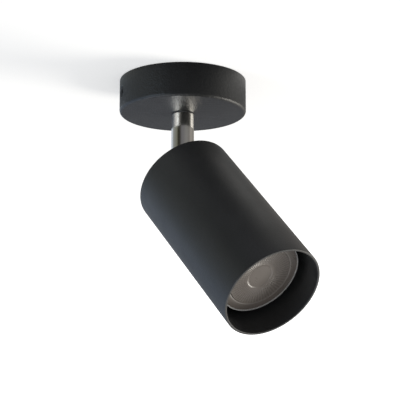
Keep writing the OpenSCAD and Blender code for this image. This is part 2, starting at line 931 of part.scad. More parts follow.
// The lampholder's front has a key slot for each pin: a wide entry and a narrow arc that locks it
module lampholder() {
    plate_z = holder_front_z - face_plate_t;
    pin_r = pin_spacing / 2;
    color("#e9e5da")
    at_head() difference() {
        rotate_extrude() polygon([
            [0, holder_z],
            [holder_r - holder_edge, holder_z],
            [holder_r, holder_z + holder_edge],
            [holder_r, holder_front_z - holder_edge],
            [holder_r - holder_edge, holder_front_z],
            [0, holder_front_z],
        ]);
        translate([0, 0, plate_z - chamber_h]) tube(chamber_r, chamber_core_r, chamber_h);
        pin_places() {
            translate([0, 0, plate_z - overrun]) {
                rotate_extrude(angle = twist_angle)
                    translate([pin_r - pin_neck_r - slot_gap, 0])
                    square([2 * (pin_neck_r + slot_gap), face_plate_t + 2 * overrun]);
                translate([pin_r, 0, 0])
                    cylinder(r = pin_neck_r + slot_gap, h = face_plate_t + 2 * overrun);
                rotate([0, 0, twist_angle]) translate([pin_r, 0, 0])
                    cylinder(r = pin_head_r + entry_gap, h = face_plate_t + 2 * overrun);
            }
            translate([lead_hole_y, 0, 0]) rod(lead_hole_r, holder_z - overrun, plate_z - overrun);
        }
        holder_screw_places() {
            rod(holder_screw_d / 2 + holder_screw_gap, holder_z - overrun, holder_front_z);
            rod(
                holder_head_d / 2 + holder_screw_gap,
                holder_front_z - holder_head_sink,
                holder_front_z + overrun
            );
        }
    }
}

// The contact springs lie behind the pins' heads all along their travel
module holder_contacts() {
    pin_tip_z = lamp_seat_z - pin_neck_l - pin_head_h;
    leaf_z = pin_tip_z - contact_gap - contact_t;
    color("#b98f4a")
    at_head() pin_places() {
        rotate([0, 0, -contact_lead_angle]) translate([0, 0, leaf_z])
            rotate_extrude(angle = twist_angle + 2 * contact_lead_angle)
            translate([contact_inner_r, 0])
            square([contact_outer_r - contact_inner_r, contact_t]);
        translate([lead_hole_y, 0, 0]) rod(crimp_r, leaf_z - crimp_l, leaf_z);
    }
}

module holder_screws() {
    head_z = holder_front_z - holder_head_sink;
    color("#c3c5c7")
    at_head() holder_screw_places() difference() {
        union() {
            rod(holder_screw_d / 2, holder_tab_z - holder_screw_tip, head_z);
            rod(holder_head_d / 2, head_z, head_z + holder_head_h);
        }
        translate([-holder_head_d, -drive_w / 2, head_z + holder_head_h - drive_w])
            cube([2 * holder_head_d, drive_w, 2 * drive_w]);
    }
}

// Wiring inside the head

module head_cable() {
    color("#202123")
    at_head() rod(cable_d / 2, head_cable_z, head_cable_tip_z);
}

// side is 1 or -1, for the contact on that side of the Y axis
module head_lead(side) {
    pin_tip_z = lamp_seat_z - pin_neck_l - pin_head_h;
    crimp_end_z = pin_tip_z - contact_gap - contact_t - crimp_l;
    start = [0, side * strand_r, head_cable_tip_z + strand_clear];
    end = [0, side * lead_hole_y, crimp_end_z - strand_clear];
    reach = (end[2] - start[2]) / 2;
    at_head() wire(
        route([start, start + [0, 0, reach], end - [0, 0, reach], end]),
        [1, 0, 0]
    );
}

module head_live_lead() color("#6b3f22") head_lead(1);
module head_neutral_lead() color("#2f62b8") head_lead(-1);

module head_earth_place() {
    translate([0, head_earth_y, cap_front_z + lug_z_gap]) children();
}

module head_earth_lug() {
    color("#c8cacc") at_head() head_earth_place() rotate([0, 0, 90]) earth_lug();
}

module head_earth_screw() {
    color("#b79a54") at_head() head_earth_place() earth_screw(head_earth_l);
}

module head_earth_lead() {
    start = [-strand_r, 0, head_cable_tip_z + strand_clear];
    end = [
        -lug_d / 2 - lug_barrel_l - strand_clear,
        head_earth_y,
        cap_front_z + lug_z_gap + lug_barrel_d / 2
    ];
    color("#7d9a2a")
    at_head() wire(
        route([start, start + [0, 0, lug_barrel_l], end - [lug_barrel_l, 0, 0], end]),
        unit([1, 1, 1])
    );
}

// Lamp

// Radius of the lamp's tapered shell at a share of its taper, less an inset
function taper_r(share) = lamp_r * cos(lamp_taper_end * share);
function taper_z(share) =
    lamp_taper_z - lamp_taper_l * sin(lamp_taper_end * share) / sin(lamp_taper_end);
function taper(inset) = [
    for (i = [0:taper_steps])
        let (s = i / taper_steps) [taper_r(s) - inset, taper_z(s)]
];

module lamp_housing() {
    neck_z = lamp_seat_z + lamp_base_h;
    inner_neck_r = lamp_neck_r - lamp_wall;
    color("#d9d8d4")
    at_head() rotate_extrude() polygon(concat(
        [[inner_neck_r, neck_z], [lamp_neck_r, neck_z]],
        backwards(taper(0)),
        arc([lamp_r - lamp_rim_round, lens_z - lamp_rim_round], lamp_rim_round, 0, 90, 4),
        [
            [lens_r + seat_gap, lens_z],
            [lens_r + seat_gap, lens_z - lens_plate_t - seat_gap],
            [lamp_r - lamp_wall - lamp_rim_round, lens_z - lens_plate_t - seat_gap],
            [lamp_r - lamp_wall - lamp_rim_round, lamp_taper_z],
        ],
        taper(lamp_wall + lamp_rim_round)
    ));
}

module lamp_base() {
    color("#dedcd5")
    at_head() difference() {
        rotate_extrude() polygon([
            [0, lamp_seat_z],
            [lamp_base_r - lamp_base_edge, lamp_seat_z],
            [lamp_base_r, lamp_seat_z + lamp_base_edge],
            [lamp_base_r, lamp_seat_z + lamp_base_h - seat_gap],
            [0, lamp_seat_z + lamp_base_h - seat_gap],
        ]);
        pin_places() translate([pin_spacing / 2, 0, lamp_seat_z])
            rod(pin_neck_r + thread_gap, -overrun, pin_root + thread_gap);
    }
}

module lamp_pins() {
    color("#c9c6bd")
    at_head() pin_places() translate([pin_spacing / 2, 0, lamp_seat_z]) {
        rod(pin_neck_r, -pin_neck_l, pin_root);
        rod(pin_head_r, -pin_neck_l - pin_head_h, -pin_neck_l);
    }
}

// The front optic: a collimator behind a clear plate, with a round eye at its centre
module lamp_lens() {
    back_z = lens_z - lens_plate_t;
    tip_z = back_z - lens_cone_l;
    eye_bevel = lens_eye_depth;
    color([0.8, 0.79, 0.76, 0.6])
    at_head() rotate_extrude() polygon([
        [0, tip_z + lens_pocket_depth],
        [lens_pocket_r, tip_z + lens_pocket_depth],
        [lens_pocket_r, tip_z],
        [lens_cone_tip_r, tip_z],
        [lens_step_r - lens_step_h, back_z],
        [lens_r, back_z],
        [lens_r, lens_z - lens_step_h],
        [lens_step_r + lens_step_h, lens_z - lens_step_h],
        [lens_step_r, lens_z],
        [lens_eye_r, lens_z],
        [lens_eye_r - eye_bevel, lens_z - lens_eye_depth],
        [0, lens_z - lens_eye_depth],
    ]);
}

module lamp_led_board() {
    board_z = spreader_top_z + seat_gap;
    color("#e8d9a0")
    at_head() {
        rod(board_r, board_z, board_z + board_t);
        rod(chip_r, board_z + board_t, board_z + board_t + chip_h);
    }
}

module lamp_heat_spreader() {
    drop_share = asin((lamp_taper_z - spreader_z) / lamp_taper_l * sin(lamp_taper_end))
        / lamp_taper_end;
    inner_r = taper_r(drop_share) - lamp_wall - lamp_rim_round - seat_gap;
    color("#b9bcbf")
    at_head() rod(inner_r, spreader_z, spreader_top_z);
}

module lamp_driver() {
    color("#3f7a4c")
    at_head() {
        translate([-driver_w / 2, -driver_t / 2, driver_base_z])
            cube([driver_w, driver_t, driver_l]);
        for (side = [-1, 1])
            translate([side * driver_w / 4, driver_t / 2, driver_base_z + driver_l / 2])
                rotate([-90, 0, 0]) cylinder(r = capacitor_r, h = capacitor_r);
    }
}

canopy_cup();
ceiling_bracket();
canopy_screws();
entry_grommet();
stop_pin();
terminal_block();
terminal_inserts();
terminal_screws();
terminal_fixing_screw();
bracket_earth_lug();
bracket_earth_screw();
bracket_earth_lead();
canopy_live_lead();
canopy_neutral_lead();
canopy_earth_lead();
swivel_washer();
stem_sleeve();
threaded_tube();
wave_washer();
stop_washer();
stem_nut();
stem_cable();
knuckle_upper();
knuckle_lower();
pivot_screw();
pivot_washer();
head_tube();
rear_cap();
cap_lock_washer();
cap_nut();
holder_bracket();
lampholder();
holder_contacts();
holder_screws();
head_cable();
head_live_lead();
head_neutral_lead();
head_earth_lead();
head_earth_lug();
head_earth_screw();
lamp_housing();
lamp_base();
lamp_pins();
lamp_lens();
lamp_heat_spreader();
lamp_led_board();
lamp_driver();
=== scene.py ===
"""Dresses a surface-mounted ceiling spotlight: black canopy, nickel stem and tilting black head.

Sizes are written in millimetres and turned into metres where a mesh is made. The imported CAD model
is the fixed frame: every piece made here stands where its CAD node stands.
"""

import logging
import math
from collections.abc import Callable, Mapping, Sequence
from dataclasses import dataclass
from enum import Enum
from typing import Any

import bmesh
import bpy
import numpy as np
from mathutils import Euler, Matrix, Vector


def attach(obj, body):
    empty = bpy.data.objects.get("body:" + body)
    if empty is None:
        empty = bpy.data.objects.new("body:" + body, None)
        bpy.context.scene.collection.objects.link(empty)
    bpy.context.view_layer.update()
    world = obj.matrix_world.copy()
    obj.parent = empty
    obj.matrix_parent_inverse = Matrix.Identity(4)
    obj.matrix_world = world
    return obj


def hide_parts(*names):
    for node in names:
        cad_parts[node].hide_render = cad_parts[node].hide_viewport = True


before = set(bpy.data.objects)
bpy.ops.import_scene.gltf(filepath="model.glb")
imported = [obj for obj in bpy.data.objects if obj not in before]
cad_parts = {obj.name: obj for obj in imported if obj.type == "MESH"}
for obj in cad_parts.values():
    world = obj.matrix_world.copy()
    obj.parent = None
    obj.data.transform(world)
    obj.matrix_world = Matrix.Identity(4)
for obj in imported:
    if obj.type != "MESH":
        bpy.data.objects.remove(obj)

LOG = logging.getLogger("spotlight")
MM = 0.001
LEAD_SHARP_DEG = 75
Colour = tuple[float, float, float]
Point = tuple[float, float, float]
Span = tuple[float, float]
Array = np.ndarray
Material = bpy.types.Material
Mesh = bpy.types.Mesh
Node = bpy.types.Node
Socket = bpy.types.NodeSocket
Tree = bpy.types.NodeTree


class Body(str, Enum):
    """The CAD bodies that a piece can ride on."""

    CANOPY = "canopy"
    STEM = "stem"
    HEAD = "head"
    LAMP = "lamp"


class Slot(str, Enum):
    """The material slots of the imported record."""

    BLACK_CANOPY = "black_canopy"
    BLACK_TUBE = "black_tube"
    BLACK_CAP = "black_cap"
    BLACK_SCREW = "black_screw"
    SATIN_NICKEL = "satin_nickel"
    POLISHED_NICKEL = "polished_nickel"
    GALVANISED = "galvanised_steel"
    ZINC = "zinc_steel"
    SPRING = "spring_steel"
    BRASS = "brass"
    BRONZE = "contact_bronze"
    TINNED = "tinned_copper"
    NYLON = "black_nylon"
    RUBBER = "black_rubber"
    SHEATH = "cable_sheath"
    POLYAMIDE = "white_polyamide"
    BROWN = "brown_insulation"
    BLUE = "blue_insulation"
    EARTH = "green_yellow_insulation"
    CERAMIC = "white_ceramic"
    LAMP_SHELL = "lamp_shell"
    OPTIC = "clear_optic"
    PIN = "pin_nickel"
    SPREADER = "spreader_aluminium"
    LED = "led_board"
    BOARD = "green_board"


# ---- Places ----


@dataclass(frozen=True)
class Place:
    """A local frame on the light, whose Z runs along the part that is turned or bored there."""

    drop: float = 0.0
    azimuth: float = 0.0
    tilt: float | None = None

    @property
    def matrix(self) -> Matrix:
        """The frame in millimetres: down to the pivot, round by azimuth, over by tilt."""
        round_z = Matrix.Rotation(math.radians(self.azimuth), 4, "Z")
        place = Matrix.Translation((0, 0, -self.drop)) @ round_z
        if self.tilt is not None:
            place = place @ Matrix.Rotation(math.radians(180 - self.tilt), 4, "Y")
        return place

    def points(self, local: Array) -> Array:
        """Carries local points in millimetres to the shared frame in metres.

        Args:
            local: Points as an (n, 3) array.

        Returns:
            The same points turned and moved, in metres.
        """
        m = np.array(self.matrix)
        return (local @ m[:3, :3].T + m[:3, 3]) * MM

    def mapping(self) -> tuple[Vector, Euler]:
        """A Mapping node's location and rotation that carry Object coordinates to this frame."""
        turn = self.matrix.to_3x3().transposed()
        shift = turn @ Vector((0, 0, self.drop * MM))
        return shift, turn.to_euler()


CEILING = Place()
STEM = Place(azimuth=-67)
HEAD = Place(drop=61.8, azimuth=-67, tilt=44)


# ---- Surfaces ----


def unit(v: Array) -> Array:
    """Vectors scaled to length one along their last axis, zero vectors left as they are."""
    length = np.linalg.norm(v, axis=-1, keepdims=True)
    return v / np.where(length < 1e-12, 1, length)


def linked(name: str, data: bpy.types.ID) -> bpy.types.Object:
    """A new object for a mesh, lamp or camera, linked to the scene."""
    made = bpy.data.objects.new(name, data)
    bpy.context.scene.collection.objects.link(made)
    return made


def filleted(corners: Sequence[Point], steps: int = 6) -> Array:
    """A closed outline whose corners are rounded by arcs that touch both of their sides.

    At each corner the arc's centre lies on the bisector at radius / sin(half the corner angle), and
    the arc turns through 180 degrees less that angle. A point half a radius outside each end of the
    arc keeps the shading of the straight sides flat.

    Args:
        corners: Radius from the axis, height and corner radius of each corner, in order.
        steps: Segments in each arc.

    Returns:
        The outline as an (n, 2) array of radius and height.
    """
    table = np.asarray(corners, float)
    at, radius = table[:, :2], table[:, 2:]
    back = unit(np.roll(at, 1, 0) - at)
    ahead = unit(np.roll(at, -1, 0) - at)
    half = np.arccos(np.clip((back * ahead).sum(1, keepdims=True), -1, 1)) / 2
    half = np.clip(half, 0.05, math.pi / 2 - 1e-4)
    reach = radius / np.tan(half)
    centre = at + unit(back + ahead) * radius / np.sin(half)
    first, last = at + back * reach, at + ahead * reach
    sweep = (math.pi - 2 * half)[:, None, :]
    share = np.linspace(0, 1, steps + 1)[None, :, None]
    arcs = centre[:, None] + (
        np.sin((1 - share) * sweep) * (first - centre)[:, None]
        + np.sin(share * sweep) * (last - centre)[:, None]
    ) / np.sin(sweep)
    support = radius / 2
    before, beyond = (first + back * support)[:, None], (last + ahead * support)[:, None]
    outline = np.concatenate([before, arcs, beyond], 1).reshape(-1, 2)
    outline[:, 0] = np.maximum(outline[:, 0], 0)
    return outline


def lathed(
    profile: Array, sides: int = 192, relief: Array | None = None, closed: bool = True
) -> tuple[Array, Array]:
    """An outline turned once round the local Z axis.

    Point (i, k) is (r_i cos a_k, r_i sin a_k, z_i + relief_ik), with a_k the k-th of equal steps
    of a full turn. Each quad joins neighbours in both directions.

    Args:
        profile: The outline as radius and height.
        sides: Steps in the full turn.
        relief: Height added to each point, as an array of outline points by steps.
        closed: Whether the outline's last point joins its first.

    Returns:
        The points as an (n, 3) array and the quads as an (m, 4) array.
    """
    rows = len(profile)
    turn = np.linspace(0, 2 * math.pi, sides, endpoint=False)
    radius, height = profile[:, :1], profile[:, 1:]
    rise = np.zeros((rows, sides)) if relief is None else relief
    points = np.stack([radius * np.cos(turn), radius * np.sin(turn), height + rise], -1)
    i, k = np.meshgrid(np.arange(rows if closed else rows - 1), np.arange(sides), indexing="ij")
    row, after, beside = i * sides, (i + 1) % rows * sides, (k + 1) % sides
    quads = np.stack([row + k, row + beside, after + beside, after + k], -1)
    return points.reshape(-1, 3), quads.reshape(-1, 4)


def finish_mesh(mesh: Mesh, sharp_deg: float, merge_mm: float = 1e-4) -> None:
    """Closes a mesh's seams and poles, points its faces outwards and shades it smooth.

    Args:
        mesh: The mesh, in metres.
        sharp_deg: Angle between two faces past which their edge stays sharp.
        merge_mm: Points nearer than this become one.
    """
    shape = bmesh.new()
    shape.from_mesh(mesh)
    bmesh.ops.remove_doubles(shape, verts=shape.verts, dist=merge_mm * MM)
    bmesh.ops.recalc_face_normals(shape, faces=shape.faces)
    shape.to_mesh(mesh)
    shape.free()
    mesh.polygons.foreach_set("use_smooth", np.ones(len(mesh.polygons), bool))
    mesh.set_sharp_from_angle(angle=math.radians(sharp_deg))
    mesh.update()


@dataclass(frozen=True)
class Piece:
    """One new object that stands for a CAD node: its name, its node, its body and its slot."""

    name: str
    node: str
    body: Body
    slot: Slot

    def declare(self, mesh: Mesh, skins: Sequence[Material]) -> None:
        mesh.materials.clear()
        for skin in skins or [FINISHES[self.slot].material()]:
            mesh.materials.append(skin)
        piece = linked(self.name, mesh)
        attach(piece, self.body.value)
        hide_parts(self.node)
        LOG.info("%s: %d faces, for %s", self.name, len(mesh.polygons), self.node)

    def from_grid(
        self,
        grid: tuple[Array, Array],
        place: Place,
        skins: Sequence[Material] = (),
        zones: Array | None = None,
        sharp_deg: float = 32,
    ) -> None:
        """Makes this piece from points and quads in a local frame.

        Args:
            grid: Local points in millimetres, and quads.
            place: The local frame.
            skins: One material for each zone, or none for the slot's own finish.
            zones: The material's number for each quad.
            sharp_deg: As in finish_mesh.
        """
        points, quads = grid
        mesh = bpy.data.meshes.new(self.name)
        mesh.from_pydata(place.points(points).tolist(), [], quads.tolist())
        if zones is not None:
            mesh.polygons.foreach_set("material_index", zones.astype(np.int32))
        finish_mesh(mesh, sharp_deg)
        self.declare(mesh, skins)

    def from_node(
        self,
        skins: Sequence[Material] = (),
        sharp_deg: float = 28,
        reshape: Callable[[Array], Array] | None = None,
    ) -> None:
        """Makes this piece from its node's own mesh, merged and shaded smooth where it is round.

        Args:
            skins: As in from_grid.
            sharp_deg: As in finish_mesh.
            reshape: Moves the merged copy's points, given and returned in millimetres.
        """
        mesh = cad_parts[self.node].data.copy()
        mesh.name = self.name
        normals = mesh.attributes.get("custom_normal")
        if normals:
            mesh.attributes.remove(normals)
        finish_mesh(mesh, sharp_deg, merge_mm=0.002)
        if reshape:
            points = np.empty(len(mesh.vertices) * 3)
            mesh.vertices.foreach_get("co", points)
            moved = reshape(points.reshape(-1, 3) / MM) * MM
            mesh.vertices.foreach_set("co", moved.ravel())
            mesh.update()
        self.declare(mesh, skins)


# ---- Shader nodes ----


class Graph:
    """Adds shader nodes to one tree and joins them."""

    def __init__(self, tree: Tree) -> None:
        """Keeps the tree that the nodes go into."""
        self.tree = tree

    @classmethod
    def emptied(cls, owner: Material | bpy.types.World) -> "Graph":
        """The graph of a material or a world whose own nodes have been cleared away."""
        owner.use_nodes = True
        owner.node_tree.nodes.clear()
        return cls(owner.node_tree)

    def feed(self, socket: Socket, value: Any) -> None:
        """Links a socket to an output, or sets it to a plain value."""
        if isinstance(value, Socket):
            self.tree.links.new(value, socket)
        else:
            socket.default_value = value

    def node(
        self, kind: str, inputs: Mapping[str | int, Any] | None = None, **settings: Any
    ) -> Node:
        """Adds a node.

        Args:
            kind: The node's type, without its ShaderNode prefix.
            inputs: Values or outputs for its sockets, by name or number.
            settings: The node's own properties.

        Returns:
            The node.
        """
        made = self.tree.nodes.new("ShaderNode" + kind)
        for name, value in settings.items():
            setattr(made, name, value)
        for name, value in (inputs or {}).items():
            self.feed(made.inputs[name], value)
        return made

    def sum(self, operation: str, *values: Any, clamp: bool = False) -> Socket:
        """The result of one arithmetic step on up to three values."""
        made = self.node("Math", dict(enumerate(values)), operation=operation, use_clamp=clamp)
        return made.outputs[0]

    def vector(self, operation: str, *values: Any, scale: Any = None) -> Socket:
        """The result of one vector step: a number for a dot product or a length, or a vector."""
        made = self.node("VectorMath", dict(enumerate(values)), operation=operation)
        if scale is not None:
            self.feed(made.inputs["Scale"], scale)
        return made.outputs["Value" if operation in ("DOT_PRODUCT", "LENGTH") else "Vector"]

    def off_axis(self, at: Socket) -> Socket:
        """The distance of a point from local Z."""
        parts = self.node("SeparateXYZ", {0: at}).outputs
        flat = self.node("CombineXYZ", {0: parts["X"], 1: parts["Y"]}).outputs[0]
        return self.vector("LENGTH", flat)

    def noise(self, at: Socket, scale: Any, detail: float, distortion: float = 0.0) -> Socket:
        """Smooth noise about one half."""
        inputs = {"Vector": at, "Scale": scale, "Detail": detail, "Distortion": distortion}
        return self.node("TexNoise", inputs).outputs[0]

    def span(
        self, value: Any, low: float, high: float, to_low: float = 0, to_high: float = 1
    ) -> Socket:
        """A value carried smoothly from one range to another and held at its ends."""
        start = {"From Min": low, "From Max": high}
        inputs = {"Value": value, **start, "To Min": to_low, "To Max": to_high}
        return self.node("MapRange", inputs, interpolation_type="SMOOTHSTEP").outputs[0]

    def blend(self, factor: Any, a: Any, b: Any) -> Socket:
        """Two colours mixed by a factor."""
        made = self.node("Mix", data_type="RGBA")
        for number, value in ((0, factor), (6, a), (7, b)):
            self.feed(made.inputs[number], (*value, 1) if isinstance(value, tuple) else value)
        return made.outputs[2]

    def group(self, name: str, at: Socket, **measure: float) -> Mapping[str, Socket]:
        """Places one of the shared effects and gives its outputs."""
        made = self.node("Group")
        made.node_tree = Effects.tree(name)
        for key, value in {"Vector": at, **measure}.items():
            self.feed(made.inputs[key], value)
        return made.outputs


class Effects:
    """The shader node groups that several finishes share, each built once."""

    @staticmethod
    def tree(name: str) -> Tree:
        """The named group, made when it is first asked for."""
        made = bpy.data.node_groups.get(name)
        return made if made else getattr(Effects, name)()

    @staticmethod
    def _open(
        name: str, measure: str, value: float, *outputs: str
    ) -> tuple[Graph, Socket, Socket, Mapping[str, Socket]]:
        """Starts a group that reads a place and one measure.

        Args:
            name: The group's name.
            measure: The measure's name.
            value: The measure's starting value, in metres.
            outputs: The outputs' names. Normal is a vector and the others are numbers.

        Returns:
            The group's graph, the place, the measure, and the sockets of its output node.
        """
        tree = bpy.data.node_groups.new(name, "ShaderNodeTree")
        add = tree.interface.new_socket
        add("Vector", in_out="INPUT", socket_type="NodeSocketVector")
        add(measure, in_out="INPUT", socket_type="NodeSocketFloat").default_value = value
        for key in outputs:
            kind = "NodeSocketVector" if key == "Normal" else "NodeSocketFloat"
            add(key, in_out="OUTPUT", socket_type=kind)
        given, out = (tree.nodes.new("NodeGroup" + side) for side in ("Input", "Output"))
        return Graph(tree), given.outputs[0], given.outputs[1], out.inputs

    @staticmethod
    def powder_grain() -> Tree:
        """Grain of a coat: fine noise on broader swells of three times its size."""
        g, at, size, out = Effects._open("powder_grain", "Size", 0.0005, "Height", "Fleck")
        scale = g.sum("DIVIDE", 1.0, size)
        fine = g.noise(at, scale, 1.0)
        swell = g.noise(at, g.sum("MULTIPLY", scale, 0.33), 0.0)
        g.feed(out["Height"], g.sum("MULTIPLY_ADD", swell, 0.4, fine))
        g.feed(out["Fleck"], g.span(fine, 0.56, 0.72))
        return g.tree

    @staticmethod
    def edge_wear_and_highlight() -> Tree:
        """How far a point lies on an edge, for wear and for painted highlights, and the normal of
        the edge softened by a radius.
        """
        g, at, radius, out = Effects._open("edge_wear_and_highlight", "Radius", 0.0002, "Mask", "Normal")
        soft = g.node("Bevel", {"Radius": radius}, samples=6).outputs[0]
        flat = g.node("NewGeometry").outputs["Normal"]
        edge = g.span(g.vector("DOT_PRODUCT", soft, flat), 0.985, 0.8)
        patch = g.span(g.noise(at, 260.0, 4.0), 0.3, 0.62)
        g.feed(out["Mask"], g.sum("MULTIPLY", edge, patch))
        g.feed(out["Normal"], soft)
        return g.tree

    @staticmethod
    def smudges() -> Tree:
        """Soft blotches, such as handling leaves, as a mask around one half."""
        g, at, size, out = Effects._open("smudges", "Size", 0.012, "Mask")
        broad = g.noise(at, g.sum("DIVIDE", 1.0, size), 5.0, 0.6)
        g.feed(out["Mask"], g.span(broad, 0.28, 0.72))
        return g.tree

    @staticmethod
    def turned_lines() -> Tree:
        """Fine rings that a lathe leaves: noise stretched along the turn, close along local Z."""
        g, at, pitch, out = Effects._open("turned_lines", "Pitch", 0.00025, "Height", "Streak")
        parts = g.node("SeparateXYZ", {0: at}).outputs
        along = g.sum("MULTIPLY", parts["Z"], g.sum("DIVIDE", 1.0, pitch))
        across = [g.sum("MULTIPLY", parts[axis], 45.0) for axis in "XY"]
        stretched = g.node("CombineXYZ", {0: across[0], 1: across[1], 2: along}).outputs[0]
        lines = g.noise(stretched, 1.0, 3.0)
        g.feed(out["Height"], lines)
        g.feed(out["Streak"], g.span(lines, 0.35, 0.65))
        return g.tree

    @staticmethod
    def dust() -> Tree:
        """Thin dust in small soft specks, as a mask."""
        g, at, size, out = Effects._open("dust", "Size", 0.0009, "Mask")
        cells = {"Vector": at, "Scale": g.sum("DIVIDE", 1.0, size), "Randomness": 1.0}
        near = g.span(g.node("TexVoronoi", cells).outputs["Distance"], 0.16, 0.04)
        drift = g.span(g.noise(at, 90.0, 3.0), 0.45, 0.7)
        g.feed(out["Mask"], g.sum("MULTIPLY", near, drift))
        return g.tree


# ---- Finishes ----


DUST: Colour = (0.32, 0.31, 0.29)
FULL_TURN = 6.283


@dataclass(frozen=True)
class Finish:
    """A coated or moulded skin: grained, a little uneven in gloss, and lighter at its edges: wear
    on the steel parts, and on the black coats wear with a painted highlight.

    Sizes are in millimetres. A subclass changes the colour or the relief, or adds to the shader.
    """

    slot: Slot
    colour: Colour
    roughness: float
    metallic: float = 0.0
    specular: float = 0.5
    grain: float = 0.5
    depth: float = 0.02
    uneven: float = 0.06
    tint: float = 0.12
    edge: float = 0.2
    wear_and_highlight: Colour | None = None
    worn_roughness: float = -0.1
    dusty: float = 0.0
    place: Place = CEILING

    def shade(self, factor: float) -> Colour:
        """The colour made darker or lighter by a factor."""
        return tuple(min(1.0, c * factor) for c in self.colour)

    def colour_nodes(self, g: Graph, at: Socket) -> Any:
        """The clean colour: here the plain tone, varied a little by soft blotches."""
        blotch = g.group("smudges", at, Size=0.02)["Mask"]
        return g.blend(blotch, self.shade(1 - self.tint), self.shade(1 + self.tint))

    def relief_nodes(self, g: Graph, at: Socket) -> tuple[Any, Any]:
        """The height of the skin's grain, and a mask of its high flecks."""
        grain = g.group("powder_grain", at, Size=self.grain * MM)
        return grain["Height"], grain["Fleck"]

    def extras(self, g: Graph, shader: Node, at: Socket) -> None:
        """What a subclass adds to the finished shader."""

    def material(self, suffix: str = "") -> Material:
        """The finish as a Blender material, made once for each name."""
        name = f"finish_{self.slot.value}{suffix}"
        known = bpy.data.materials.get(name)
        if known:
            return known
        made = bpy.data.materials.new(name)
        g = Graph.emptied(made)
        where = g.node("TexCoord").outputs["Object"]
        shift, turn = self.place.mapping()
        at = g.node("Mapping", {"Vector": where, "Location": shift, "Rotation": turn}).outputs[0]
        edge = g.group("edge_wear_and_highlight", at, Radius=self.edge * MM)
        height, fleck = self.relief_nodes(g, at)
        colour = self.colour_nodes(g, at)
        # The edge colour is wear, and on the black coats also a painted highlight that lightens the
        # rounded edges.
        if self.wear_and_highlight:
            colour = g.blend(edge["Mask"], colour, self.wear_and_highlight)
        handled = g.group("smudges", at, Size=0.014)["Mask"]
        rough = g.sum("MULTIPLY_ADD", handled, 2 * self.uneven, self.roughness - self.uneven)
        rough = g.sum("MULTIPLY_ADD", fleck, -self.uneven, rough)
        rough = g.sum("MULTIPLY_ADD", edge["Mask"], self.worn_roughness, rough, clamp=True)
        if self.dusty:
            laid = g.sum("MULTIPLY", g.group("dust", at)["Mask"], self.dusty)
            colour = g.blend(laid, colour, DUST)
            rough = g.sum("MULTIPLY_ADD", laid, 0.4, rough, clamp=True)
        bump = {"Height": height, "Distance": self.depth * MM, "Normal": edge["Normal"]}
        relief = g.node("Bump", {**bump, "Strength": 1.0})
        skin = {"Base Color": colour, "Metallic": self.metallic, "Roughness": rough}
        skin |= {"Specular IOR Level": self.specular, "Normal": relief.outputs[0]}
        shader = g.node("BsdfPrincipled", skin)
        self.extras(g, shader, at)
        g.node("OutputMaterial", {"Surface": shader.outputs[0]})
        made.diffuse_color = (*self.colour, 1)
        return made


@dataclass(frozen=True)
class TurnedMetal(Finish):
    """Bare or plated metal with the fine rings of its turning."""

    metallic: float = 1.0
    pitch: float = 0.22
    uneven: float = 0.05
    tint: float = 0.06

    def relief_nodes(self, g: Graph, at: Socket) -> tuple[Any, Any]:
        """Turned lines in place of grain."""
        lines = g.group("turned_lines", at, Pitch=self.pitch * MM)
        return lines["Height"], lines["Streak"]


@dataclass(frozen=True)
class SpangledSteel(Finish):
    """Hot-dipped zinc on sheet steel: flat crystals, each with its own grey and gloss."""

    metallic: float = 1.0
    crystal: float = 3.2

    def colour_nodes(self, g: Graph, at: Socket) -> Any:
        """A tone for each crystal, between a darker and a lighter grey."""
        cells = g.node("TexVoronoi", {"Vector": at, "Scale": 1 / (self.crystal * MM)})
        tone = g.node("SeparateColor", {0: cells.outputs["Color"]}).outputs[0]
        return g.blend(tone, self.shade(0.78), self.shade(1.15))


@dataclass(frozen=True)
class StripedSheath(Finish):
    """Insulation in two colours that wind round the lead as slanting bands."""

    second: Colour = (0.75, 0.6, 0.04)
    band: float = 2.6

    def colour_nodes(self, g: Graph, at: Socket) -> Any:
        """Bands across a slanting direction, with sharp borders."""
        scale = 1 / (self.band * MM) / FULL_TURN
        waves = {"Vector": at, "Scale": scale, "Distortion": 0.0}
        wave = g.node("TexWave", waves, bands_direction="DIAGONAL")
        return g.blend(g.span(wave.outputs["Fac"], 0.46, 0.54), self.colour, self.second)


@dataclass(frozen=True)
class PhosphorBoard(Finish):
    """A white-masked lamp board with a yellow phosphor spot at its centre."""

    spot: float = 4.0
    phosphor: Colour = (0.85, 0.55, 0.05)

    def colour_nodes(self, g: Graph, at: Socket) -> Any:
        """Phosphor inside the spot's radius about local Z, the mask's white outside it."""
        inside = g.span(g.off_axis(at), self.spot * MM * 1.02, self.spot * MM * 0.98)
        return g.blend(inside, self.colour, self.phosphor)


@dataclass(frozen=True)
class CircuitBoard(Finish):
    """A green driver board with paler tracks under its mask."""

    def colour_nodes(self, g: Graph, at: Socket) -> Any:
        """Tracks as thin bands of a brick pattern."""
        black, white = (0, 0, 0, 1), (1, 1, 1, 1)
        tones = {"Color1": black, "Color2": black, "Mortar": white}
        tracks = g.node("TexBrick", {"Vector": at, "Scale": 420.0, "Mortar Size": 0.05, **tones})
        return g.blend(tracks.outputs["Color"], self.colour, self.shade(2.2))


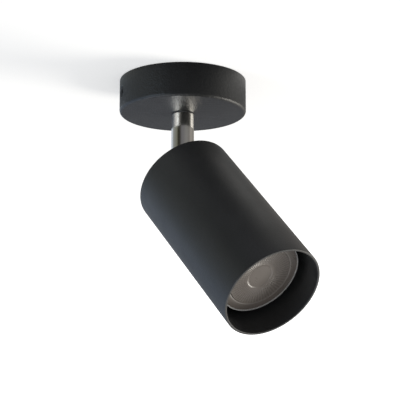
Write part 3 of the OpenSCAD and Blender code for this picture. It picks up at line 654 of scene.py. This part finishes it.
@dataclass(frozen=True)
class FrostedOptic(Finish):
    """The lamp's moulded front: hazy plastic with pressed ribs, painted shade in their valleys, a
    painted highlight on the lip and a darker ring.
    """

    transmission: float = 0.12
    ior: float = 1.49
    clear: float = 0.1
    clear_roughness: float = 0.3
    ribs: int = 60
    ribs_from: float = 8.2
    ribs_to: float = 19.0
    rib_shade: float = 0.7
    ring_shade: float = 0.85
    lip_radius: float = 19.6
    lip_width: float = 0.9
    lip_share: float = 0.22
    # The lip's colour is a painted highlight along the step's outer edge.
    lip_highlight: Colour = (0.4, 0.38, 0.36)

    def colour_nodes(self, g: Graph, at: Socket) -> Any:
        """Painted shade in the valleys between the ribs round local Z, then the darker ring and a
        painted highlight on the lip.
        """
        parts = g.node("SeparateXYZ", {0: at}).outputs
        far, turn = g.off_axis(at), g.sum("ARCTAN2", parts["Y"], parts["X"])
        wave = g.sum("COSINE", g.sum("MULTIPLY", turn, float(self.ribs)))
        valley = g.sum("MULTIPLY_ADD", wave, -0.5, 0.5)
        start, end = self.ribs_from * MM, self.ribs_to * MM
        pressed = g.sum("MULTIPLY", g.span(far, start, start * 1.4), g.span(far, end, end * 0.97))
        ribbed = g.sum("MULTIPLY", valley, pressed)
        ring = g.span(far, end, end * 1.02, 1.0, self.ring_shade)
        # Painted shade: darker valleys between the ribs, times the darker ring.
        rib_and_ring_shade = g.sum("MULTIPLY_ADD", ribbed, self.rib_shade - 1, ring)
        inner, outer = self.lip_radius * MM, (self.lip_radius + self.lip_width) * MM
        rise, fall = g.span(far, inner, inner * 1.015), g.span(far, outer, outer * 0.985)
        lip_highlight = g.sum("MULTIPLY", g.sum("MULTIPLY", rise, fall), self.lip_share)
        return g.blend(lip_highlight, g.blend(rib_and_ring_shade, (0.0, 0.0, 0.0), self.colour), self.lip_highlight)

    def extras(self, g: Graph, shader: Node, at: Socket) -> None:
        """Lets part of the light through at the plastic's index, under a clear polished face."""
        shader.inputs["Transmission Weight"].default_value = self.transmission
        shader.inputs["IOR"].default_value = self.ior
        shader.inputs["Coat Weight"].default_value = self.clear
        shader.inputs["Coat Roughness"].default_value = self.clear_roughness


@dataclass(frozen=True)
class Glazed(Finish):
    """A skin under a thin clear coat, such as semi-gloss ceramic."""

    coat: float = 0.4
    coat_roughness: float = 0.25

    def extras(self, g: Graph, shader: Node, at: Socket) -> None:
        """Adds the clear coat, thinner where the skin has been handled."""
        handled = g.group("smudges", at, Size=0.006)["Mask"]
        g.feed(shader.inputs["Coat Weight"], g.sum("MULTIPLY", handled, self.coat))
        shader.inputs["Coat Roughness"].default_value = self.coat_roughness


STEEL_EDGE: Colour = (0.62, 0.62, 0.61)
NICKEL: Colour = (0.5, 0.485, 0.455)
ALL_FINISHES: tuple[Finish, ...] = (
    # The canopy's lighter edge colour is a painted highlight along its rounded rims, patchy like
    # wear.
    Finish(
        Slot.BLACK_CANOPY, (0.0135, 0.014, 0.0145), 0.38, grain=0.8, depth=0.26, uneven=0.025,
        tint=0.06, edge=0.7, wear_and_highlight=(0.1, 0.1, 0.098), worn_roughness=-0.14, dusty=0.2,
    ),
    # The tube's lighter edge colour is a painted highlight along its rims.
    Finish(
        Slot.BLACK_TUBE, (0.0195, 0.02, 0.021), 0.43, depth=0.06, uneven=0.025, tint=0.06,
        edge=0.25, wear_and_highlight=(0.045, 0.045, 0.045), dusty=0.15, place=HEAD,
    ),
    Finish(Slot.BLACK_CAP, (0.018, 0.018, 0.019), 0.5, depth=0.03, dusty=0.35, place=HEAD),
    # The screw's pale edge colour paints glints on its head: a painted highlight.
    Finish(
        Slot.BLACK_SCREW, (0.005, 0.005, 0.006), 0.45, specular=0.3, grain=0.25, depth=0.01,
        edge=0.15, wear_and_highlight=(0.3, 0.3, 0.29),
    ),
    TurnedMetal(Slot.SATIN_NICKEL, NICKEL, 0.14, depth=0.002, edge=0.25),
    TurnedMetal(Slot.POLISHED_NICKEL, (0.62, 0.6, 0.56), 0.12, depth=0.001, edge=0.15, place=HEAD),
    SpangledSteel(
        Slot.GALVANISED, (0.5, 0.52, 0.54), 0.38, grain=0.8, depth=0.006, wear_and_highlight=STEEL_EDGE
    ),
    TurnedMetal(Slot.ZINC, (0.55, 0.55, 0.54), 0.3, depth=0.004, wear_and_highlight=STEEL_EDGE),
    TurnedMetal(Slot.SPRING, (0.36, 0.37, 0.39), 0.34, depth=0.004),
    TurnedMetal(Slot.BRASS, (0.62, 0.44, 0.17), 0.28, depth=0.004),
    TurnedMetal(Slot.BRONZE, (0.55, 0.33, 0.14), 0.32, depth=0.003),
    TurnedMetal(Slot.TINNED, (0.6, 0.6, 0.58), 0.35, depth=0.003),
    # The nylon's light grey is painted light that lifts the washers' shaded gaps.
    Finish(Slot.NYLON, (0.15, 0.148, 0.145), 0.45, grain=0.3, depth=0.008),
    Finish(Slot.RUBBER, (0.018, 0.018, 0.018), 0.72, grain=0.4),
    Finish(Slot.SHEATH, (0.03, 0.03, 0.032), 0.55, grain=0.4, depth=0.01),
    Finish(Slot.POLYAMIDE, (0.78, 0.77, 0.72), 0.42, depth=0.01, tint=0.03),
    Finish(Slot.BROWN, (0.16, 0.06, 0.025), 0.4, grain=0.4, depth=0.006),
    Finish(Slot.BLUE, (0.03, 0.12, 0.45), 0.4, grain=0.4, depth=0.006),
    StripedSheath(Slot.EARTH, (0.07, 0.3, 0.05), 0.4, grain=0.4, depth=0.006),
    Glazed(Slot.CERAMIC, (0.8, 0.77, 0.7), 0.45, grain=0.7, depth=0.012, tint=0.03, place=HEAD),
    Finish(
        Slot.LAMP_SHELL, (0.75, 0.75, 0.74), 0.2, specular=0.8, grain=0.4, depth=0.008,
        tint=0.04, edge=0.3, place=HEAD,
    ),
    FrostedOptic(
        Slot.OPTIC, (0.168, 0.145, 0.128), 0.3, grain=0.9, depth=0.004, uneven=0.02,
        edge=0.03, worn_roughness=0.0, place=HEAD,
    ),
    TurnedMetal(Slot.PIN, (0.6, 0.58, 0.54), 0.22, depth=0.002, place=HEAD),
    TurnedMetal(Slot.SPREADER, (0.6, 0.6, 0.6), 0.36, depth=0.006, place=HEAD),
    PhosphorBoard(Slot.LED, (0.82, 0.81, 0.78), 0.4, grain=0.3, depth=0.004, place=HEAD),
    CircuitBoard(Slot.BOARD, (0.03, 0.16, 0.06), 0.35, grain=0.3, depth=0.004, place=HEAD),
)
FINISHES = {finish.slot: finish for finish in ALL_FINISHES}
TUBE_BORE = Finish(Slot.BLACK_TUBE, (0.011, 0.011, 0.0115), 0.5, grain=0.4, depth=0.015, place=HEAD)
HEAD_NICKEL = TurnedMetal(Slot.SATIN_NICKEL, NICKEL, 0.2, depth=0.002, edge=0.25, place=HEAD)
OWN_NAMES = {
    "canopy_screws": "side_screws",
    "ceiling_bracket": "bracket_strap",
    "knuckle_upper": "upper_knuckle",
    "lamp_base": "lamp_foot",
}


def smooth_nodes(body: Body, sharp_deg: float = 28, **slots: Slot) -> None:
    """Puts merged, smoothly shaded copies of CAD nodes in their places.

    Args:
        body: The body that they ride on.
        sharp_deg: As in finish_mesh.
        slots: Each node's slot.
    """
    for node, slot in slots.items():
        name = OWN_NAMES.get(node, node + "_smooth")
        Piece(name, node, body, slot).from_node(sharp_deg=sharp_deg)


# ---- Sub-assemblies ----


@dataclass(frozen=True)
class Canopy:
    """The black cup on the ceiling, its side screws and what hangs inside it."""

    radius: float = 39.0
    height: float = 20.8
    rim: float = 1.0
    coated_rim: float = 1.8

    def soften_rim(self, points: Array) -> Array:
        """The cup's points with its lower rim's round grown to that of the coated rim.

        A point of the round keeps its direction from the square corner that the round cuts off, and
        its distance from that corner grows by coated_rim / rim.
        """
        r = np.hypot(points[:, 0], points[:, 1])
        inward, upward = self.radius - r, points[:, 2] + self.height
        on_round = np.maximum(inward, upward) < self.rim + 0.01
        grow = np.where(on_round, self.coated_rim / self.rim, 1.0)
        moved = points.copy()
        moved[:, :2] *= ((self.radius - inward * grow) / np.maximum(r, 1e-6))[:, None]
        moved[:, 2] = upward * grow - self.height
        return moved

    def build(self) -> None:
        """Dresses the cup, its screws, the bracket and the terminal block."""
        shell = Piece("canopy_shell", "canopy_cup", Body.CANOPY, Slot.BLACK_CANOPY)
        shell.from_node(reshape=self.soften_rim)
        smooth_nodes(
            Body.CANOPY, canopy_screws=Slot.BLACK_SCREW, ceiling_bracket=Slot.GALVANISED,
            entry_grommet=Slot.RUBBER, stop_pin=Slot.ZINC, terminal_block=Slot.POLYAMIDE,
            terminal_inserts=Slot.BRASS, terminal_screws=Slot.ZINC, terminal_fixing_screw=Slot.ZINC,
            bracket_earth_lug=Slot.TINNED, bracket_earth_screw=Slot.BRASS,
        )


@dataclass(frozen=True)
class StemParts:
    """The nickel tube and what clamps it to the canopy."""

    radius: float = 7.0
    bore: float = 5.15
    top: float = -21.35
    bottom: float = -45.8
    rim: float = 0.25

    def sleeve(self) -> None:
        """Turns the sleeve with a small round on each of its four rims."""
        corners = [
            (self.radius, self.bottom, self.rim),
            (self.radius, self.top, self.rim),
            (self.bore, self.top, self.rim / 2),
            (self.bore, self.bottom, self.rim / 2),
        ]
        piece = Piece("stem_tube", "stem_sleeve", Body.STEM, Slot.SATIN_NICKEL)
        piece.from_grid(lathed(filleted(corners)), STEM)

    def build(self) -> None:
        """Builds the sleeve and dresses the washers, the nut and the cable."""
        self.sleeve()
        smooth_nodes(
            Body.STEM, threaded_tube=Slot.ZINC, swivel_washer=Slot.NYLON, wave_washer=Slot.SPRING,
            stop_washer=Slot.ZINC, stem_nut=Slot.BRASS, stem_cable=Slot.SHEATH,
            knuckle_upper=Slot.SATIN_NICKEL,
        )


@dataclass(frozen=True)
class HeadShell:
    """The black tube and its inset rear cap, turned about the head's axis."""

    radius: float = 30.5
    bore: float = 29.1
    rear: float = 3.7
    front: float = 112.7
    rim: float = 0.35
    cap_back: float = 11.7
    cap_front: float = 14.7
    cap_bore: float = 5.15
    skirt_end: float = 20.7
    skirt_wall: float = 1.5
    seat_gap: float = 0.05
    tube_sides: int = 256
    cap_sides: int = 224

    def tube(self) -> None:
        """Turns the tube: a long thin wall with four rounded rims, darker inside than outside."""
        wall = ((self.radius, self.rear), (self.radius, self.front))
        bore = ((self.bore, self.front), (self.bore, self.rear))
        outline = filleted([(*corner, self.rim) for corner in wall + bore])
        on_bore = outline[:, 0] < self.bore + 0.01
        zones = np.repeat((on_bore & np.roll(on_bore, -1)).astype(int), self.tube_sides)
        piece = Piece("head_shade", "head_tube", Body.HEAD, Slot.BLACK_TUBE)
        skins = [FINISHES[Slot.BLACK_TUBE].material(), TUBE_BORE.material("_bore")]
        piece.from_grid(lathed(outline, self.tube_sides), HEAD, skins, zones)

    def cap(self) -> None:
        """Turns the rear cap: a disc with a bore for the stud and a skirt inside the tube."""
        outer = self.bore - self.seat_gap
        corners = [
            (self.cap_bore, self.cap_back, 0.2), (outer, self.cap_back, 0.4),
            (outer, self.skirt_end, 0.2), (outer - self.skirt_wall, self.skirt_end, 0.2),
            (outer - self.skirt_wall, self.cap_front, 0.6), (self.cap_bore, self.cap_front, 0.2),
        ]
        piece = Piece("head_cap", "rear_cap", Body.HEAD, Slot.BLACK_CAP)
        piece.from_grid(lathed(filleted(corners), self.cap_sides), HEAD)

    def build(self) -> None:
        """Builds the tube and the cap, and dresses the joint's lower half and its screw."""
        self.tube()
        self.cap()
        lower = Piece("lower_knuckle", "knuckle_lower", Body.HEAD, Slot.SATIN_NICKEL)
        lower.from_node([HEAD_NICKEL.material("_head")])
        smooth_nodes(
            Body.HEAD, pivot_screw=Slot.POLISHED_NICKEL, pivot_washer=Slot.NYLON,
            cap_lock_washer=Slot.SPRING, cap_nut=Slot.BRASS, holder_bracket=Slot.GALVANISED,
            lampholder=Slot.CERAMIC, holder_contacts=Slot.BRONZE, holder_screws=Slot.ZINC,
            head_cable=Slot.SHEATH, head_earth_lug=Slot.TINNED, head_earth_screw=Slot.BRASS,
        )


@dataclass(frozen=True)
class ReflectorLamp:
    """The exchangeable lamp: tapered shell, twist-lock base, and an optic with ribs and an eye."""

    face: float = 97.9
    radius: float = 25.0
    bezel: float = 0.8
    rim_length: float = 5.0
    taper_length: float = 25.0
    taper_end: float = 56.0
    taper_rows: int = 28
    neck: float = 13.6
    neck_end: float = 64.1
    neck_wall: float = 1.2
    wall: float = 1.9
    seat_gap: float = 0.05
    plate: float = 1.6
    step_radius: float = 19.0
    step: float = 0.35
    eye_radius: float = 8.2
    eye_depth: float = 0.28
    eye_wall: float = 0.8
    eye_dome: float = 0.25
    eye_rows: int = 25
    sunk: float = 0.02
    zone_rows: int = 50
    facets: int = 60
    facet_sides: int = 8
    facet_rows: int = 7
    facet_depth: float = 0.13
    cone_tip: float = 7.4
    cone_length: float = 10.5
    pocket_radius: float = 4.8
    pocket_depth: float = 5.0
    groove: tuple[Span, ...] = (
        (0.12, 0.06), (0.28, 0.34), (0.4, 0.44), (0.55, 0.45), (0.75, 0.4), (1.0, 0.35),
    )
    rim: tuple[Span, ...] = ((0.5, 0.0), (0.05, 0.08), (0.0, 0.25))

    def shell(self) -> None:
        """Turns the shell: its radius falls with the cosine of the taper's growing angle."""
        angle = np.radians(np.linspace(0, self.taper_end, self.taper_rows))
        drop = np.sin(angle) / np.sin(angle[-1]) * self.taper_length
        rim_end, inside = self.face - self.rim_length, self.radius - self.wall
        outer = np.stack([self.radius * np.cos(angle), rim_end - drop], 1)
        inner = outer - np.array([self.wall, 0])
        seat_r = self.radius - self.bezel + self.seat_gap
        seat_z = self.face - self.plate - self.seat_gap
        corners = [
            (self.radius, self.face, 0.55), (seat_r, self.face, 0.12), (seat_r, seat_z, 0),
            (inside, seat_z, 0), (inside, rim_end, 0), (self.radius, rim_end, 0),
        ]
        # The last two corners only give their neighbours a direction.
        rim = filleted(corners).reshape(len(corners), -1, 2)[:-2].reshape(-1, 2)
        neck = [[self.neck - self.neck_wall, self.neck_end], [self.neck, self.neck_end]]
        outline = np.concatenate([rim, inner, neck, outer[::-1]])
        piece = Piece("lamp_shell", "lamp_housing", Body.LAMP, Slot.LAMP_SHELL)
        piece.from_grid(lathed(outline), HEAD)

    def optic(self) -> None:
        """Turns the optic, whose middle zone is pressed into ribs of small pillows.

        The pressing is facet_depth times one wave for each rib round the turn, times a shallower
        wave for each row along the radius, and fades out at both borders of the zone. The eye is a
        bowl with a low dome whose wall falls with a cosine. Outside the zone lie a groove, given as
        steps out and down from the zone's border, and a rim, as steps in and down from the edge.
        """
        z = self.face
        edge = self.radius - self.bezel
        zone = np.linspace(self.eye_radius, self.step_radius, self.zone_rows)
        eye = np.linspace(0, self.eye_radius, self.eye_rows, endpoint=False)
        rise = np.clip((eye - self.eye_radius + self.eye_wall) / self.eye_wall, 0, 1)
        dome = self.eye_dome * (1 - (eye / self.eye_radius) ** 2)
        bowl = z - self.sunk - self.eye_depth * (0.5 + 0.5 * np.cos(math.pi * rise)) + dome
        face = np.stack([zone, np.full(self.zone_rows, z - self.sunk)], 1)
        groove = np.array([self.step_radius, z]) + np.array(self.groove) * (1, -1)
        rim = np.array([edge, z - self.step]) - np.array(self.rim)
        front = np.concatenate([np.stack([eye, bowl], 1), face, groove, rim])
        back_z = z - self.plate
        tip_z = back_z - self.cone_length
        back = [
            [edge, back_z], [self.step_radius - self.step, back_z],
            [self.cone_tip, tip_z], [self.pocket_radius, tip_z],
            [self.pocket_radius, tip_z + self.pocket_depth], [0, tip_z + self.pocket_depth],
        ]
        outline = np.concatenate([front, back])
        sides = self.facets * self.facet_sides
        share = (outline[:, :1] - self.eye_radius) / (self.step_radius - self.eye_radius)
        row = np.clip(share, 0, 1) * self.facet_rows
        turn = np.linspace(0, 2 * math.pi, sides, endpoint=False)
        ribs = 0.5 - 0.5 * np.cos(turn * self.facets)
        ends = np.clip(np.minimum(row, self.facet_rows - row), 0, 1)
        waves = 0.8 - 0.2 * np.cos(row * 2 * math.pi)
        on_front = (np.arange(len(outline)) < len(front))[:, None]
        relief = -self.facet_depth * ends * waves * ribs * on_front
        piece = Piece("lamp_optic", "lamp_lens", Body.LAMP, Slot.OPTIC)
        piece.from_grid(lathed(outline, sides, relief), HEAD, sharp_deg=35)

    def build(self) -> None:
        """Builds the shell and the optic and dresses what they hide."""
        self.shell()
        self.optic()
        smooth_nodes(
            Body.LAMP, lamp_base=Slot.LAMP_SHELL, lamp_pins=Slot.PIN,
            lamp_heat_spreader=Slot.SPREADER, lamp_led_board=Slot.LED, lamp_driver=Slot.BOARD,
        )


# ---- Studio ----

RIGHT: Span = (0.95036, -0.31117)
AHEAD: Span = (0.31117, 0.95036)
MIRRORED_TWICE = 1.5
Stops = tuple[tuple[float, Colour | float], ...]


def opaque(tone: Colour | float) -> tuple[float, ...]:
    """A colour, or a grey given as one number, with full opacity."""
    return (*(tone if isinstance(tone, tuple) else (tone,) * 3), 1.0)


def round_room(g: Graph, direction: Socket, stops: Stops) -> Socket:
    """A colour for each compass direction of the room.

    The share of a full turn is the angle round from straight ahead of the photograph's view, over
    the left at a quarter, the photographer's side at a half and the right at three quarters.

    Args:
        g: The tree's graph.
        direction: A vector whose level part gives the compass direction.
        stops: Shares with their colours or greys, from 0 to 1.

    Returns:
        The colour.
    """
    right, ahead = (g.vector("DOT_PRODUCT", direction, (*axis, 0)) for axis in (RIGHT, AHEAD))
    angle = g.sum("ARCTAN2", right, g.sum("MULTIPLY", ahead, -1.0))
    ramp = g.node("ValToRGB", {"Fac": g.sum("MULTIPLY_ADD", angle, 0.5 / math.pi, 0.5)})
    ramp.color_ramp.interpolation = "EASE"
    elements = ramp.color_ramp.elements
    for share, tone in stops[1:-1]:
        elements.new(share).color = opaque(tone)
    elements[0].color, elements[-1].color = opaque(stops[0][1]), opaque(stops[-1][1])
    return ramp.outputs[0]


@dataclass(frozen=True)
class CeilingSheet:
    """The white ceiling that the light hangs from, as a stage: a flat ring open over the canopy.

    Sizes are in metres. The sheens are what glossy surfaces see of it, far out and near the canopy.
    """

    hole: float = 0.0385
    reach: float = 9.0
    height: float = 0.0003
    rings: int = 12
    sides: int = 96
    glow: float = 0.49
    glow_grows: Span = (0.18, 0.7)
    near_ends: Span = (0.095, 0.11)
    white: Colour = (0.8, 0.8, 0.8)
    sheen: Stops = (
        (0.0, 0.4), (0.1, (0.7, 0.78, 0.9)), (0.135, (1.3, 1.45, 1.65)),
        (0.17, (0.62, 0.68, 0.75)), (0.25, (0.4, 0.42, 0.4)), (0.34, (0.29, 0.3, 0.25)),
        (0.37, (0.07, 0.07, 0.05)), (0.41, (0.06, 0.06, 0.05)), (0.49, (0.26, 0.26, 0.28)),
        (0.61, 0.36), (0.68, (0.32, 0.31, 0.3)), (0.76, (0.55, 0.52, 0.49)),
        (0.81, (0.4, 0.38, 0.36)), (0.87, (0.45, 0.43, 0.4)), (1.0, 0.4),
    )
    sheen_near: Stops = (
        (0.0, (0.3, 0.3, 0.32)), (0.1, (0.15, 0.16, 0.18)), (0.2, (0.18, 0.2, 0.22)),
        (0.27, (0.38, 0.42, 0.44)), (0.34, (0.5, 0.52, 0.5)), (0.41, (0.28, 0.28, 0.26)),
        (0.47, 0.08), (0.54, 0.02), (0.59, 0.1), (0.65, (0.55, 0.54, 0.52)),
        (0.69, (1.0, 0.98, 0.94)), (0.74, (0.75, 0.74, 0.71)), (0.81, (0.3, 0.3, 0.29)),
        (1.0, (0.3, 0.3, 0.32)),
    )

    def material(self) -> Material:
        """White that keeps the light's shadow from below and can be seen through from above."""
        made = bpy.data.materials.new("ceiling_paint")
        g = Graph.emptied(made)
        where = g.node("TexCoord").outputs["Object"]
        grain = g.group("powder_grain", where, Size=0.002)["Height"]
        bump = g.node("Bump", {"Height": grain, "Distance": 0.00005, "Strength": 0.3})
        paint = g.node("BsdfDiffuse", {"Color": (*self.white, 1), "Normal": bump.outputs[0]})
        rays = g.node("LightPath").outputs
        far = g.vector("LENGTH", where)
        straight = g.sum("MAXIMUM", rays["Is Camera Ray"], rays["Is Transmission Ray"])
        glow = g.sum("MULTIPLY", straight, g.span(far, *self.glow_grows, self.glow))
        lamp = g.node("Emission", {"Color": (1, 1, 1, 1), "Strength": glow})
        both = g.node("AddShader", {0: paint.outputs[0], 1: lamp.outputs[0]})
        near, beyond = round_room(g, where, self.sheen_near), round_room(g, where, self.sheen)
        sheen = g.blend(g.span(far, *self.near_ends), near, beyond)
        mirrored = g.node("Emission", {"Color": sheen, "Strength": 1.0}).outputs[0]
        glossy = rays["Is Glossy Ray"]
        lit = g.node("MixShader", {0: glossy, 1: both.outputs[0], 2: mirrored}).outputs[0]
        clear = g.node("BsdfTransparent").outputs[0]
        back = g.node("NewGeometry").outputs["Backfacing"]
        mixed = g.node("MixShader", {0: back, 1: lit, 2: clear})
        g.node("OutputMaterial", {"Surface": mixed.outputs[0]})
        made.cycles.emission_sampling = "NONE"
        return made

    def build(self) -> None:
        """Builds the ring as a grid of growing radius, its face turned down to the room."""
        radii = self.hole * (self.reach / self.hole) ** np.linspace(0, 1, self.rings)
        profile = np.stack([radii, np.full(self.rings, self.height)], 1)
        points, quads = lathed(profile, self.sides, closed=False)
        mesh = bpy.data.meshes.new("ceiling")
        mesh.from_pydata(points.tolist(), [], quads.tolist())
        mesh.update()
        if mesh.polygons[0].normal.z > 0:
            mesh.flip_normals()
        mesh.materials.append(self.material())
        linked("ceiling", mesh)


@dataclass(frozen=True)
class Softbox:
    """One soft studio lamp: where it stands, its size, its power and its colour."""

    name: str
    at: Point
    size: float
    watts: float
    colour: Colour
    aim: Point = (0.0, -0.02, -0.07)

    def build(self) -> None:
        """Adds the lamp as a square area light that faces its aim."""
        data = bpy.data.lights.new(self.name, "AREA")
        data.shape = "SQUARE"
        data.size = self.size
        data.energy = self.watts
        data.color = self.colour
        lamp = linked(self.name, data)
        lamp.location = self.at
        heading = Vector(self.aim) - Vector(self.at)
        lamp.rotation_euler = heading.to_track_quat("-Z", "Y").to_euler()


@dataclass(frozen=True)
class Camera:
    """The photograph's camera, fitted to the object's outlines."""

    at: Point = (-0.26354, -0.83914, -0.28648)
    look: Point = (0.30257, 0.92408, 0.23353)
    lens: float = 133.75
    sensor: float = 36.0

    def build(self) -> None:
        """Adds the camera and makes it the scene's."""
        data = bpy.data.cameras.new("camera")
        data.lens = self.lens
        data.sensor_width = self.sensor
        data.clip_start, data.clip_end = 0.01, 50
        camera = linked("camera", data)
        camera.location = self.at
        camera.rotation_euler = Vector(self.look).to_track_quat("-Z", "Y").to_euler()
        bpy.context.scene.camera = camera


@dataclass(frozen=True)
class Studio:
    """The room: a soft warm key low on the right, a cool fill on the left and a pale world.

    Glossy surfaces see the walls, dimmer towards the horizon and low down, and a pale floor. What
    is mirrored twice sees the strips too. Spans are of a direction's height, or for the bounce of
    its share towards bounce_from.
    """

    ambient: float = 0.16
    bounce: float = 0.75
    floor: float = 2.2
    horizon: float = 0.3
    low: float = 0.8
    horizon_span: Span = (-0.22, -0.03)
    low_span: Span = (-0.7, -0.35)
    floor_span: Span = (-0.8, -0.95)
    bounce_span: Span = (0.2, 1.0)
    bounce_from: Point = (0.2714, -0.6394, -0.7193)
    walls: Stops = (
        (0.0, (0.34, 0.35, 0.38)), (0.1, (0.6, 0.68, 0.8)), (0.17, (0.68, 0.86, 1.14)),
        (0.29, (0.72, 0.9, 1.18)), (0.34, (0.6, 0.66, 0.74)), (0.39, 0.03), (0.44, 0.07),
        (0.52, 0.1), (0.62, 0.16), (0.7, (0.4, 0.39, 0.37)), (0.77, (0.9, 0.88, 0.84)),
        (0.86, (0.95, 0.92, 0.86)), (0.92, (0.7, 0.68, 0.65)), (1.0, (0.34, 0.35, 0.38)),
    )
    strips: Stops = (
        (0.0, 0.0), (0.18, 0.3), (0.24, 2.2), (0.3, (6.3, 6.2, 6.0)), (0.37, (6.3, 6.2, 5.9)),
        (0.42, 0.7), (0.48, 0.0), (0.71, 0.0), (0.77, (4.2, 4.1, 3.9)), (0.87, (4.2, 4.1, 3.9)),
        (0.93, 0.0), (1.0, 0.0),
    )
    lamps: tuple[Softbox, ...] = (
        Softbox("key", (1.44, -0.04, -0.70), 0.65, 16.5, (1.0, 0.96, 0.88)),
        Softbox("fill_left", (-1.40, -0.53, -0.47), 0.4, 5.0, (0.72, 0.86, 1.0)),
    )

    def world(self) -> None:
        """White looked at straight, grey light for matt surfaces and the walls for glossy ones."""
        world = bpy.data.worlds.new("room")
        bpy.context.scene.world = world
        g = Graph.emptied(world)
        rays = g.node("LightPath").outputs
        direction = g.node("TexCoord").outputs["Generated"]
        height = g.node("SeparateXYZ", {0: direction}).outputs["Z"]
        horizon = g.span(height, *self.horizon_span, 1.0, self.horizon)
        level = g.sum("MULTIPLY", g.span(height, *self.low_span, self.low), horizon)
        sides = g.vector("SCALE", round_room(g, direction, self.walls), scale=level)
        twice = g.sum("GREATER_THAN", rays["Glossy Depth"], MIRRORED_TWICE)
        strips = g.vector("SCALE", round_room(g, direction, self.strips), scale=twice)
        floor = g.span(height, *self.floor_span, 0.0, self.floor)
        shine = g.vector("ADD", g.vector("ADD", sides, strips), floor)
        lens_side = g.vector("DOT_PRODUCT", direction, self.bounce_from)
        soft = g.span(lens_side, *self.bounce_span, self.ambient, self.bounce)
        straight = g.sum("MAXIMUM", rays["Is Camera Ray"], rays["Is Transmission Ray"])
        plain = g.blend(rays["Is Glossy Ray"], soft, shine)
        colour = g.blend(straight, plain, (1.0, 1.0, 1.0))
        sky = g.node("Background", {"Color": colour, "Strength": 1.0})
        g.node("OutputWorld", {"Surface": sky.outputs[0]})
        world.cycles.sampling_method = "NONE"

    def build(self) -> None:
        """Builds the camera, the world, the lamps and the ceiling."""
        Camera().build()
        self.world()
        for lamp in self.lamps:
            lamp.build()
        CeilingSheet().build()
        bpy.context.scene.view_settings.view_transform = "Standard"


def main() -> None:
    """Builds the light and its room in order."""
    logging.basicConfig(level=logging.INFO, format="%(name)s: %(message)s")
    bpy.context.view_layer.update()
    Studio().build()
    Canopy().build()
    StemParts().build()
    HeadShell().build()
    ReflectorLamp().build()
    smooth_nodes(Body.CANOPY, LEAD_SHARP_DEG, bracket_earth_lead=Slot.EARTH)
    for body in (Body.CANOPY, Body.HEAD):
        cores = {"live": Slot.BROWN, "neutral": Slot.BLUE, "earth": Slot.EARTH}
        leads = {f"{body.value}_{core}_lead": slot for core, slot in cores.items()}
        smooth_nodes(body, LEAD_SHARP_DEG, **leads)


if __name__ == "__main__":
    main()
